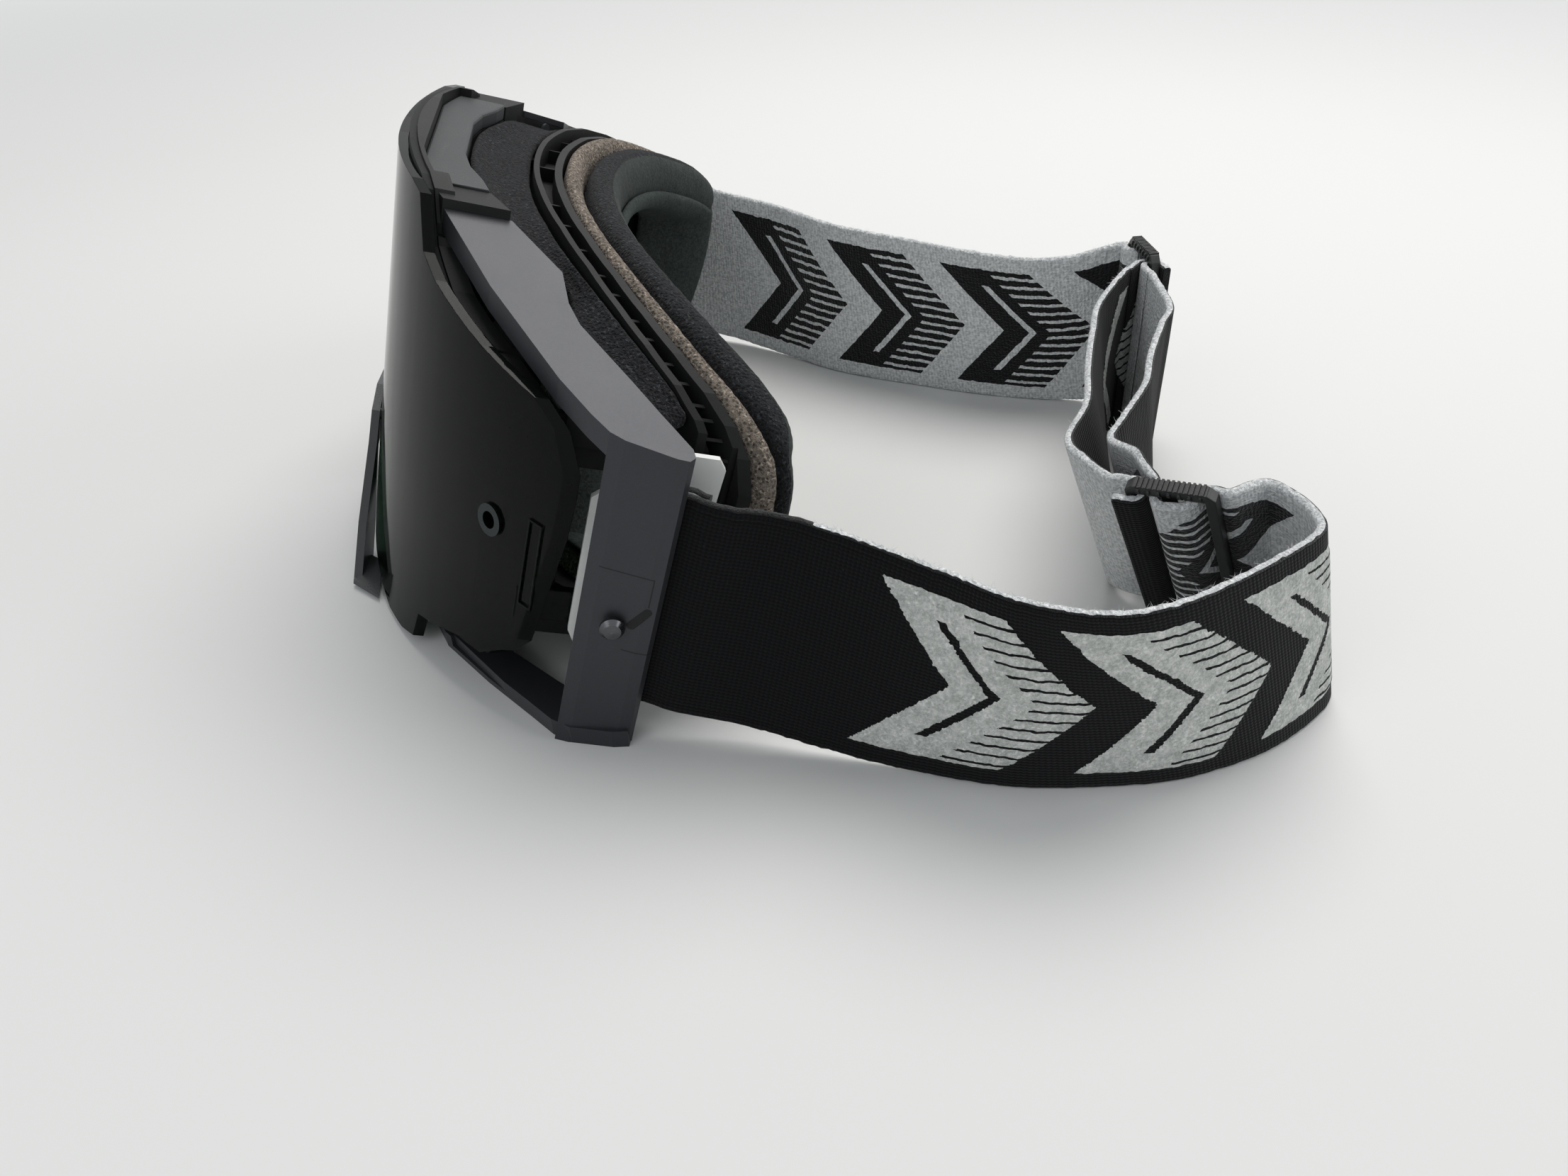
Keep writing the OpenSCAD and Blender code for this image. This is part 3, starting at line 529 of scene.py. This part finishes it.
# Each row is the strap's low edge and its high edge
LEFT_RUN = [
    (97, 88, 5, 95.6, 97.5, 50), (103.2, 102.5, 2.6, 102.4, 109.5, 47.5),
    (109.5, 116.8, 1, 111.4, 121, 46), (117, 136.6, 0.5, 120.4, 131.4, 45.4),
    (120, 158.8, 0.5, 123.4, 144.5, 43.3), (119.2, 172.6, 0.5, 122.6, 157.4, 43.3),
    (114.4, 189, 0.5, 116, 174.4, 43.4), (104.6, 204.4, 0.5, 107.2, 190.2, 43.6),
    (96, 207, 1, 100.4, 192.6, 44), (88.6, 206, 2.4, 95, 190.8, 44.6), (84, 203.6, 4.2, 92.4, 187, 45.6)]
MIDDLE_LEFT = [
    (61.8, 183.5, 2, 68.8, 167, 43.8), (58.5, 185.1, 0.5, 61.5, 172.1, 44),
    (48.9, 191.2, 0.5, 48.9, 182.2, 45), (36.9, 193.3, 0.5, 36.9, 188.3, 45.7),
    (21.2, 199.6, 0.6, 21.2, 197.6, 46), (14, 203.4, 1.6, 14, 202.4, 47)]
RIGHT_RUN = [
    (-96.4, 88, 5, -96, 98, 50), (-90, 106, 2.6, -92, 104, 48), (-77, 122, 1, -80, 120, 46),
    (-61, 139, 0.5, -62, 134, 45), (-47, 162, 0.5, -47, 153, 45), (-38.5, 178, 0.5, -36, 167.5, 44.6),
    (-33, 193, 0.6, -29, 181, 44.4), (-29.5, 203, 1.4, -25.5, 193, 45.2)]
MIDDLE_RIGHT = [
    (6.8, 194.8, 1, 6.8, 187.8, 46), (18.7, 191.9, 0.5, 18.7, 181.9, 45),
    (36.8, 187.1, 0.5, 36.8, 174.1, 44), (48.1, 184.6, 0.5, 51.1, 168.6, 43),
    (58.1, 177.5, 1.5, 65.1, 159.5, 42.7), (64.5, 177.8, 3, 74.5, 159.3, 43.3)]
# Each slide's middle and its turn in degrees, and the strap's way through it and round its end
SLIDE_LEFT = ((84.9, 179.6, 24.4), (29.6, -8.9, 48.3))
SLIDE_RIGHT = ((-15.2, 208.5, 25.6), (2.0, 0.0, -2.8))
THREAD = [(-10, -2.3), (-8, -2.3), (-6.4, -2.3), (-5.1, -1.6), (-3.8, 0.8), (-2.5, 2.2), (-0.4, 2.4),
          (1.4, 2.4), (2.8, 1.4), (3.1, -0.8), (3.9, -3), (5.4, -4.4), (7.4, -6.3), (9.6, -8.6)]
WRAP = [(13, -2.3), (11, -2.3), (8.6, -2.3), (6.7, -2.25), (5.6, -1.8), (5.2, -0.9), (5.1, 0),
        (5.2, 0.9), (5.6, 1.8), (6.7, 2.25), (8.6, 2.3), (10.4, 2.3)]


def leaned(x, y, z):
    """A place on the goggles' own upright drawing, as it lies when they lean on the table."""
    c, s = math.cos(LEAN), math.sin(LEAN)
    return Vector((x, y * c + z * s, z * c - y * s - DROP))


def turned(turn):
    """The rotation by three angles in degrees."""
    return Euler([math.radians(a) for a in turn], "XYZ").to_matrix().to_4x4()


def on_slide(point, place, sign):
    """The strap's low and high edge at a point of a slide's cross-section."""
    at, turn = place
    m = Matrix.Translation(at) @ turned(turn)
    x, y = point[0] * sign, point[1] * sign
    return m @ Vector((x, y, -STRAP_WIDTH / 2)), m @ Vector((x, y, STRAP_WIDTH / 2))


def on_bar(point, side):
    """The strap's low and high edge at a point round an outrigger's bar."""
    low, high = BAR_MIDDLE - STRAP_WIDTH / 2, BAR_MIDDLE + STRAP_WIDTH / 2
    return leaned(side * point[0], point[1], low), leaned(side * point[0], point[1], high)


def stations(side):
    """Low and high edge of one length of strap, from its bar through its slide to the far slide."""
    loop = [(90.8, 68.4), (88.4, 63.8), (85.8, 60.2)]
    loop += [(BAR[0] + LOOP_R * math.cos(math.radians(a)), BAR[1] + LOOP_R * math.sin(math.radians(a)))
             for a in range(180, 361, 45)]
    loop += [(90.6, 61), (91.6, 65), (93.8, 71)]
    run, middle = (LEFT_RUN, MIDDLE_LEFT) if side > 0 else (RIGHT_RUN, MIDDLE_RIGHT)
    own, far = (SLIDE_LEFT, SLIDE_RIGHT) if side > 0 else (SLIDE_RIGHT, SLIDE_LEFT)
    rows = [on_bar(p, side) for p in loop]
    rows += [(Vector(r[:3]), Vector(r[3:])) for r in run]
    rows += [on_slide(p, own, -side) for p in THREAD]
    rows += [(Vector(r[:3]), Vector(r[3:])) for r in middle]
    rows += [on_slide(p, far, side) for p in WRAP]
    return rows


def curve_point(a, b, c, d, t):
    """A point between b and c on the smooth curve through all four."""
    square = (2 * a - 5 * b + 4 * c - d) * t * t
    cube = (3 * b - a - 3 * c + d) * t ** 3
    return 0.5 * (2 * b + (c - a) * t + square + cube)


def resampled(rows):
    """Stations along the strap's smooth route, about a step apart."""
    fine = []
    n = len(rows)
    for i in range(n - 1):
        quad = [rows[max(i - 1, 0)], rows[i], rows[i + 1], rows[min(i + 2, n - 1)]]
        mid = [(a + b) / 2 for a, b in quad]
        count = max(2, math.ceil((mid[2] - mid[1]).length / STATION_STEP))
        for k in range(count):
            t = k / count
            fine.append(tuple(curve_point(*[q[e] for q in quad], t) for e in (0, 1)))
    fine.append(rows[-1])
    return fine


def motif(across, along):
    """How far a spot of the strap lies inside its raised chevrons, from 0 to 1."""
    slope = abs(across - STRAP_WIDTH / 2)
    reach = along + slope * CHEVRON_SLOPE
    phase = (reach - MOTIF_FROM) % CHEVRON_STEP
    if not MOTIF_FROM < reach < MOTIF_TO:
        return 0.0
    rim = min(phase, CHEVRON_THICK - phase, CHEVRON_HALF - slope)
    if slope < CHEVRON_HALF - SLIT_MARGIN:
        rim = min(rim, abs(phase - CHEVRON_SLIT) - SLIT_HALF)
    return max(0.0, min(1.0, rim / MOTIF_RIM))


def strap_rails(side):
    """Stations along one length of strap. Each is its low edge, its directions up and out, and
    how far along the strap it lies."""
    fine = resampled(stations(side))
    mids = [(low + high) / 2 for low, high in fine]
    rails = []
    along = 0.0
    for i, (low, high) in enumerate(fine):
        before, after = mids[max(i - 1, 0)], mids[min(i + 1, len(mids) - 1)]
        along += (mids[i] - before).length
        up = (high - low).normalized()
        out = (after - before).normalized().cross(up).normalized() * side
        rails.append((low, up, out, along))
    return rails


def strap_section(thick):
    """The webbing's outline: outer face, upper edge, inner face and lower edge. Each point has
    its height, its depth and its kind."""
    half = thick / 2
    section = [(STRAP_WIDTH * k / COLUMNS, half, "outer") for k in range(COLUMNS + 1)]
    section += [(STRAP_WIDTH + out, half * share, "edge") for out, share in BULGE]
    section += [(STRAP_WIDTH * (1 - k / COLUMNS), -half, "inner") for k in range(COLUMNS + 1)]
    section += [(-out, -half * share, "edge") for out, share in BULGE]
    return section


def strap_spot(point, rail, side):
    """Where a point of the outline lies at a station, with its ripples and the raised motif."""
    across, depth, kind = point
    low, up, out, along = rail
    inside = max(0.0, min(STRAP_WIDTH, across))
    ripple = RIPPLE * noise.noise(Vector((along * 0.22, inside * 0.05, 3.0 * side)))
    edge = 9.0 if across > STRAP_WIDTH / 2 else 2.0
    wave = WAVE * noise.noise(Vector((along * 0.5, 0.0, edge)))
    if kind != "outer" and along > LINING_FROM:
        wave += LINING_WAVE * noise.noise(Vector((along * 1.1, depth, 4.0)))
    lift = MOTIF_LIFT * motif(inside, along) if kind == "outer" else 0.0
    height = across + wave * (2 * across / STRAP_WIDTH - 1)
    return (low + up * height + out * (depth + lift + ripple) - ORIGIN) * MM


def face_kind(a, b, rail, side, thick):
    """The material of the faces between two points of the outline: 0 outer face, 1 inner face,
    2 cut edge, 3 the lining's share of that edge."""
    if a[2] == b[2] != "edge":
        return 0 if a[2] == "outer" else 1
    along = rail[3]
    lined = along + 14 * noise.noise(Vector((along * 0.3, 5.0, side))) > LINING_FROM
    return 3 if lined and (a[1] + b[1]) / 2 < thick / 4 else 2


def close_end(bm, ring, flip):
    """Closes an end of the strap, with strips between its outer and its inner face."""
    row, edge = COLUMNS + 1, len(BULGE)
    top, upper = ring[:row], ring[row:row + edge]
    bottom, lower = ring[row + edge:2 * row + edge][::-1], ring[2 * row + edge:]
    strips = [(top[k], top[k + 1], bottom[k + 1], bottom[k]) for k in range(COLUMNS)]
    fans = [(top[-1], upper[0], upper[1], bottom[-1]), (upper[1], upper[2], bottom[-1]),
            (bottom[0], lower[0], lower[1], top[0]), (lower[1], lower[2], top[0])]
    for strip in strips + fans:
        bm.faces.new(strip[::-1] if flip else strip).material_index = 2


def strap_mesh(name, side, rails, thick, materials):
    """Sweeps the webbing along its rails. The materials are in face_kind's order."""
    section = strap_section(thick)
    bm = bmesh.new()
    layer = bm.loops.layers.uv.new("strap")
    rings = [[bm.verts.new(strap_spot(point, rail, side)) for point in section] for rail in rails]
    for i in range(len(rails) - 1):
        for j, a in enumerate(section):
            k = (j + 1) % len(section)
            b = section[k]
            corners = {rings[i][j]: (a, i), rings[i + 1][j]: (a, i + 1),
                       rings[i + 1][k]: (b, i + 1), rings[i][k]: (b, i)}
            quad = list(corners)
            face = bm.faces.new(quad[::-1] if side > 0 else quad)
            face.material_index = face_kind(a, b, rails[i], side, thick)
            face.smooth = True
            for loop in face.loops:
                point, at = corners[loop.vert]
                share = max(0.0, min(1.0, point[0] / STRAP_WIDTH))
                loop[layer].uv = (share, rails[at][3] / MAP_LENGTH)
    close_end(bm, rings[0], side < 0)
    close_end(bm, rings[-1], side > 0)
    bmesh.ops.recalc_face_normals(bm, faces=bm.faces)
    piece = new_piece(name, bm)
    for material in materials:
        piece.data.materials.append(material)
    return piece


def filament_line(name, rails):
    """The line along the lining's upper edge that its filaments stand on."""
    bm = bmesh.new()
    verts = []
    for low, up, out, along in rails[::2]:
        if along >= LINING_FROM:
            spot = low + up * (STRAP_WIDTH + FILAMENT_ABOVE) - out * FILAMENT_BEHIND
            verts.append(bm.verts.new((spot - ORIGIN) * MM))
    for pair in zip(verts, verts[1:]):
        bm.edges.new(pair)
    return new_piece(name, bm)


# What repeats

class Pattern(Nodes):
    """A Geometry Nodes tree with named sizes, which ends in real geometry of one material."""

    def __init__(self, name, material, **sizes):
        super().__init__(bpy.data.node_groups.new(name, "GeometryNodeTree"))
        self.material = material
        self.sizes = sizes
        self.sockets = {}
        face = self.tree.interface
        face.new_socket("Geometry", in_out="INPUT", socket_type="NodeSocketGeometry")
        for label, value in sizes.items():
            kind = "NodeSocketInt" if isinstance(value, int) else "NodeSocketFloat"
            socket = face.new_socket(label, in_out="INPUT", socket_type=kind)
            socket.default_value = value
            self.sockets[label] = socket.identifier
        face.new_socket("Geometry", in_out="OUTPUT", socket_type="NodeSocketGeometry")
        self.source = dict(zip(("Geometry", *sizes), self.node("NodeGroupInput")))

    def end(self, geometry):
        """Ends the tree in this geometry and gives the pattern."""
        real = self.node("GeometryNodeRealizeInstances", None, {"Geometry": geometry})[0]
        inputs = {"Geometry": real, "Material": self.material}
        worn = self.node("GeometryNodeSetMaterial", None, inputs)[0]
        self.node("NodeGroupOutput", None, {"Geometry": worn})
        return self

    def grow(self, piece, **changes):
        """Runs the tree on the object, with some sizes changed, and keeps its plain mesh."""
        step = piece.modifiers.new("pattern", "NODES")
        step.node_group = self.tree
        for label, value in {**self.sizes, **changes}.items():
            step[self.sockets[label]] = value
        return plain(piece)


def edge_filaments(material, gap):
    """Loose filaments that stand along an edge."""
    g = Pattern("Edge filaments", material, Spacing=gap, Length=FILAMENT_LENGTH * MM,
                Thickness=FILAMENT_THICK * MM, Seed=0)
    curve = g.node("GeometryNodeMeshToCurve", None, {"Mesh": g.source["Geometry"]})[0]
    inputs = {"Curve": curve, "Length": g.source["Spacing"]}
    points = g.node("GeometryNodeResampleCurve", {"mode": "LENGTH"}, inputs)[0]
    hair = g.node("GeometryNodeMeshCone", None, {
        "Vertices": 3, "Radius Top": 0.000008, "Radius Bottom": g.source["Thickness"],
        "Depth": g.source["Length"]})[0]
    turn = g.node("FunctionNodeRandomValue", {"data_type": "FLOAT_VECTOR"}, {
        "Min": (-1.5, -1.5, 0.0), "Max": (1.5, 1.5, 6.28), "Seed": g.source["Seed"]})[0]
    reach = g.node("FunctionNodeRandomValue", None, {2: 0.3, 3: 1.0, "Seed": g.source["Seed"]})[1]
    inputs = {"Points": points, "Instance": hair, "Rotation": turn, "Scale": reach}
    return g.end(g.node("GeometryNodeInstanceOnPoints", None, inputs)[0])


def grip_ribs(material):
    """Rows of small ribs across both ends of a slide, about the slide's middle."""
    g = Pattern("Grip ribs", material, Count=GRIP_COUNT, Spacing=GRIP_STEP * MM,
                Height=GRIP_REACH * MM)
    size = tuple(length * MM for length in GRIP_SIZE)
    rib = g.node("GeometryNodeMeshCube", None, {"Size": size})[0]
    # the row starts half its length before the middle
    first = (g.source["Count"] * -0.5 + 0.5) * g.source["Spacing"]
    start = g.node("ShaderNodeCombineXYZ", None, {"X": first, "Z": g.source["Height"]})[0]
    step = g.node("ShaderNodeCombineXYZ", None, {"X": g.source["Spacing"]})[0]
    inputs = {"Count": g.source["Count"], "Start Location": start, "Offset": step}
    row = g.node("GeometryNodeMeshLine", None, inputs)[0]
    near = g.node("GeometryNodeInstanceOnPoints", None, {"Points": row, "Instance": rib})[0]
    inputs = {"Geometry": near, "Rotation": (math.pi, 0.0, 0.0)}
    far = g.node("GeometryNodeTransform", None, inputs)[0]
    return g.end(g.node("GeometryNodeJoinGeometry", None, {"Geometry": [near, far]})[0])


# Solids of the model

def eased(width, *names):
    """Rounds the hard edges of solids a little; width is in millimetres."""
    for name in names:
        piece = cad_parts[name]
        piece.modifiers.new("weld", "WELD").merge_threshold = WELD_REACH
        ease = piece.modifiers.new("ease", "BEVEL")
        ease.width = width * MM
        ease.segments = 2
        ease.limit_method = "ANGLE"
        ease.angle_limit = HARD_ANGLE
        piece.modifiers.new("shade", "WEIGHTED_NORMAL").keep_sharp = True


def paint(material, *names):
    """Gives solids their finish."""
    for name in names:
        dressed(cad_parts[name], material)


# The stage

def pale_floor(tint):
    """A floor that the camera sees fade into the pale background, far from the goggles."""
    f = Finish("floor_pale")
    f.set(base=tuple(tint) + (1.0,), rough=0.9, specular=0.1)
    x, y, _ = f.split(f.place())
    far = f.range((x * x + y * y).power(0.5), 0.45, 1.3)
    glow = f.node("ShaderNodeEmission", None, {"Color": PALE})[0]
    bm = bmesh.new()
    bmesh.ops.create_grid(bm, x_segments=1, y_segments=1, size=6.0)
    floor = new_piece("floor", bm)
    dressed(floor, f.blend(far * f.seen(), glow))
    return floor


def soft_world(scene):
    """Soft light from all around, and the pale background wherever it is seen."""
    world = bpy.data.worlds.new("studio")
    scene.world = world
    world.use_nodes = True
    world.node_tree.nodes.clear()
    n = Nodes(world.node_tree)
    soft = n.node("ShaderNodeBackground", None, {"Color": (0.92, 0.96, 1.0, 1.0), "Strength": 0.42})[0]
    pale = n.node("ShaderNodeBackground", None, {"Color": PALE, "Strength": 1.0})[0]
    both = n.node("ShaderNodeMixShader", None, {0: n.seen(), 1: soft, 2: pale})[0]
    n.node("ShaderNodeOutputWorld", None, {"Surface": both})


def lamp(scene, name, spot, size, power, tint):
    """A round area lamp, in metres and watts."""
    light = bpy.data.lights.new(name, "AREA")
    light.shape = "DISK"
    light.size = size
    light.energy = power
    light.color = tint
    holder = bpy.data.objects.new(name, light)
    holder.location = spot
    holder.rotation_euler = (LAMP_AIM - Vector(spot)).to_track_quat("-Z", "Y").to_euler()
    scene.collection.objects.link(holder)


def photo_camera(scene):
    """The camera that the photograph was taken with."""
    camera = bpy.data.cameras.new("camera")
    camera.sensor_width = 36.0
    camera.lens = camera.sensor_width * FOCAL_PIXELS / PHOTO_WIDTH
    camera.clip_start, camera.clip_end = 0.01, 20.0
    holder = bpy.data.objects.new("camera", camera)
    scene.collection.objects.link(holder)
    turn, tilt, roll = (math.radians(a) for a in (CAMERA_TURN, CAMERA_TILT, CAMERA_ROLL))
    ahead = Vector((-math.sin(turn) * math.cos(tilt), math.cos(turn) * math.cos(tilt), -math.sin(tilt)))
    right = ahead.cross(Vector((0, 0, 1))).normalized()
    up = right.cross(ahead)
    across = right * math.cos(roll) + up * math.sin(roll)
    upward = up * math.cos(roll) - right * math.sin(roll)
    matrix = Matrix((across, upward, -ahead)).transposed().to_4x4()
    matrix.translation = (Vector(CAMERA_AT) - ORIGIN) * MM
    holder.matrix_world = matrix
    scene.camera = holder


# What a user may change

class GogglesSizes(bpy.types.PropertyGroup):
    strap_thick: FloatProperty(
        name="Strap thickness", description="Thickness of the webbing",
        default=STRAP_THICK * MM, min=0.0015, max=0.0019, unit="LENGTH")
    foam_grain: FloatProperty(
        name="Foam grain", description="How far the foam's cut cells stand out",
        default=0.00016, min=0.0, max=0.0004, unit="LENGTH")
    filament_gap: FloatProperty(
        name="Filament gap", description="Distance between loose filaments along the strap's edge",
        default=0.0004, min=0.0002, max=0.002, unit="LENGTH")
    filament_seed: IntProperty(
        name="Filament seed", description="Seed of the filaments' directions", default=7, min=0)
    lens_clear: FloatProperty(
        name="Lens clearness", description="Share of the light that passes each face of the lens",
        default=0.66, min=0.0, max=0.9, subtype="FACTOR")


class GogglesColours(bpy.types.PropertyGroup):
    floor: FloatVectorProperty(
        name="Floor", description="Colour of the floor",
        default=(0.70, 0.70, 0.69), subtype="COLOR", min=0.0, max=1.0)


# The steps

class GOGGLES_OT_frame(bpy.types.Operator):
    """Finish the frame, the rear flange and the brow pad"""
    bl_idname = "goggles.frame"
    bl_label = "Frame and pad"

    def execute(self, context):
        paint(moulded_plastic("frame_black", "#0c0d0e", 0.58, 0.25, grain=0.08), "main_frame")
        paint(moulded_plastic("flange_black", "#0d0e0f", 0.6, 0.22, grain=0.08), "face_flange")
        paint(moulded_plastic("pad_grey", "#2c2e30", 0.52, 0.35, grain=0.14), "top_pad")
        eased(0.25, "main_frame")
        eased(0.5, "top_pad")
        return {"FINISHED"}


class GOGGLES_OT_outriggers(bpy.types.Operator):
    """Finish the outriggers, their rivets, studs and strap bars"""
    bl_idname = "goggles.outriggers"
    bl_label = "Outriggers"

    def execute(self, context):
        paint(satin_paint("outrigger_grey", "#303135"), "outrigger_left", "outrigger_right")
        eased(0.6, "outrigger_left", "outrigger_right")
        paint(turned_metal("rivet_steel", "#8d9094", 0.34), "arm_rivets", "strap_bar_left",
              "strap_bar_right", "lever_pin_left", "lever_pin_right")
        paint(turned_metal("stud_steel", "#5c5d60", 0.26), "stud_left", "stud_right")
        return {"FINISHED"}


class GOGGLES_OT_lens(bpy.types.Operator):
    """Finish the lens, its gasket and its vent rings"""
    bl_idname = "goggles.lens"
    bl_label = "Lens"

    def execute(self, context):
        clear = context.scene.goggles_sizes.lens_clear
        paint(smoked_lens("lens_smoke", "#0a110d", clear), "lens")
        eased(0.3, "lens")
        paint(moulded_plastic("gasket_black", "#141516", 0.8, 0.3, grain=0.2), "lens_gasket")
        paint(turned_metal("ring_metal", "#33393a", 0.3), "vent_ring_left", "vent_ring_right")
        return {"FINISHED"}


class GOGGLES_OT_levers(bpy.types.Operator):
    """Finish the white lock levers"""
    bl_idname = "goggles.levers"
    bl_label = "Lock levers"

    def execute(self, context):
        white = moulded_plastic("lever_white", "#e4e5e2", 0.36, grain=0.05, scuff=0.02)
        paint(white, "lock_lever_left", "lock_lever_right")
        eased(0.3, "lock_lever_left", "lock_lever_right")
        return {"FINISHED"}


class GOGGLES_OT_guard(bpy.types.Operator):
    """Finish the nose guard"""
    bl_idname = "goggles.guard"
    bl_label = "Nose guard"

    def execute(self, context):
        paint(moulded_plastic("guard_grey", "#2c2e30", 0.3, grain=0.05), "nose_guard")
        eased(0.3, "nose_guard")
        return {"FINISHED"}


class GOGGLES_OT_foam(bpy.types.Operator):
    """Build the three layers of the face foam and the foam over the top vent"""
    bl_idname = "goggles.foam"
    bl_label = "Foams"

    def execute(self, context):
        grain = context.scene.goggles_sizes.foam_grain / MM
        taupe = open_foam("foam_taupe", "#211d1a", "#a69a8d", 1350, 1.0)
        charcoal = open_foam("foam_charcoal", "#040405", "#3b3d40", 1400, 0.7, covered=True)
        fleece = brushed_fleece("fleece_dark")
        black = open_foam("foam_black", "#040405", "#3a3b3f", 1400, 0.6)
        # each foam's node, piece, finish and slot, its swell in millimetres, its roughness and seed
        for node, name, material, slot, swell, rough, seed in (
                ("foam_base_layer", "face_foam_base", taupe, "foam_light", 0.10, 1.5, 11),
                ("foam_dark_layer", "face_foam_middle", charcoal, "foam_dark", 0.12, 1.2, 23),
                ("foam_fleece", "face_fleece", fleece, "fleece", 0.05, 0.5, 37),
                ("top_vent_foam", "vent_foam", black, "vent_foam", 0.06, 1.0, 41)):
            piece = softened(node, name, swell, grain * rough, seed)
            dressed(piece, material)
            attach(piece, "frame")
            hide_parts(node)
        return {"FINISHED"}


class GOGGLES_OT_straps(bpy.types.Operator):
    """Build both lengths of the strap and the loose filaments along their edges"""
    bl_idname = "goggles.straps"
    bl_label = "Straps"

    def execute(self, context):
        sizes = context.scene.goggles_sizes
        looks = [strap_outside("webbing_outside"), strap_inside("webbing_inside"),
                 fuzzy_edge("webbing_edge", "#060607", "#1a1b1d"),
                 fuzzy_edge("webbing_lining_edge", "#9fa3a5", "#f6f7f7")]
        thread = fuzzy_edge("loose_filament", "#c9cbcc", "#f2f2f2")
        loose = edge_filaments(thread, sizes.filament_gap)
        for side, way in ((1, "left"), (-1, "right")):
            rails = strap_rails(side)
            piece = strap_mesh("webbing_" + way, side, rails, sizes.strap_thick / MM, looks)
            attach(piece, "frame")
            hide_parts("strap_" + way)
            fuzz = loose.grow(filament_line("filaments_" + way, rails), Seed=sizes.filament_seed + side)
            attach(fuzz, "frame")
        return {"FINISHED"}


class GOGGLES_OT_slides(bpy.types.Operator):
    """Finish the strap's slides"""
    bl_idname = "goggles.slides"
    bl_label = "Strap slides"

    def execute(self, context):
        black = moulded_plastic("slide_black", "#141516", 0.36, grain=0.05)
        paint(black, "slide_left", "slide_right")
        eased(0.2, "slide_left", "slide_right")
        grips = grip_ribs(black)
        for name, (at, turn) in (("grip_ribs_left", SLIDE_LEFT), ("grip_ribs_right", SLIDE_RIGHT)):
            ribs = grips.grow(new_piece(name))
            ribs.data.transform(Matrix.Translation((Vector(at) - ORIGIN) * MM) @ turned(turn))
            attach(ribs, "frame")
        return {"FINISHED"}


class GOGGLES_OT_stage(bpy.types.Operator):
    """Set the floor, the light and the camera"""
    bl_idname = "goggles.stage"
    bl_label = "Stage"

    def execute(self, context):
        scene = context.scene
        scene.view_settings.view_transform = "Standard"
        pale_floor(scene.goggles_colours.floor)
        soft_world(scene)
        lamp(scene, "key", (-0.35, 0.25, 0.95), 0.85, 9.0, (1.0, 0.98, 0.95))
        lamp(scene, "fill", (0.75, -0.75, 0.75), 0.9, 2.6, (0.95, 0.98, 1.0))
        lamp(scene, "rear", (0.3, 1.1, 0.6), 0.7, 2.8, (1.0, 1.0, 1.0))
        photo_camera(scene)
        return {"FINISHED"}


OPERATORS = (GOGGLES_OT_stage, GOGGLES_OT_frame, GOGGLES_OT_outriggers, GOGGLES_OT_lens, GOGGLES_OT_levers,
             GOGGLES_OT_guard, GOGGLES_OT_foam, GOGGLES_OT_straps, GOGGLES_OT_slides)


class GOGGLES_PT_panel(bpy.types.Panel):
    """Sizes, colours and steps of the goggles"""
    bl_label = "Goggles"
    bl_idname = "GOGGLES_PT_panel"
    bl_space_type = "VIEW_3D"
    bl_region_type = "UI"
    bl_category = "Goggles"

    def draw(self, context):
        for group in (context.scene.goggles_sizes, context.scene.goggles_colours):
            for name in group.__annotations__:
                self.layout.prop(group, name)
        for step in OPERATORS:
            self.layout.operator(step.bl_idname)


CLASSES = (GogglesSizes, GogglesColours) + OPERATORS + (GOGGLES_PT_panel,)


def register():
    for item in CLASSES:
        bpy.utils.register_class(item)
    bpy.types.Scene.goggles_sizes = bpy.props.PointerProperty(type=GogglesSizes)
    bpy.types.Scene.goggles_colours = bpy.props.PointerProperty(type=GogglesColours)


def unregister():
    del bpy.types.Scene.goggles_colours
    del bpy.types.Scene.goggles_sizes
    for item in reversed(CLASSES):
        bpy.utils.unregister_class(item)


def main():
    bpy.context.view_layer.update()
    register()
    for step in OPERATORS:
        group, name = step.bl_idname.split(".")
        getattr(getattr(bpy.ops, group), name)()
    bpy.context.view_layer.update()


if __name__ == "__main__":
    main()
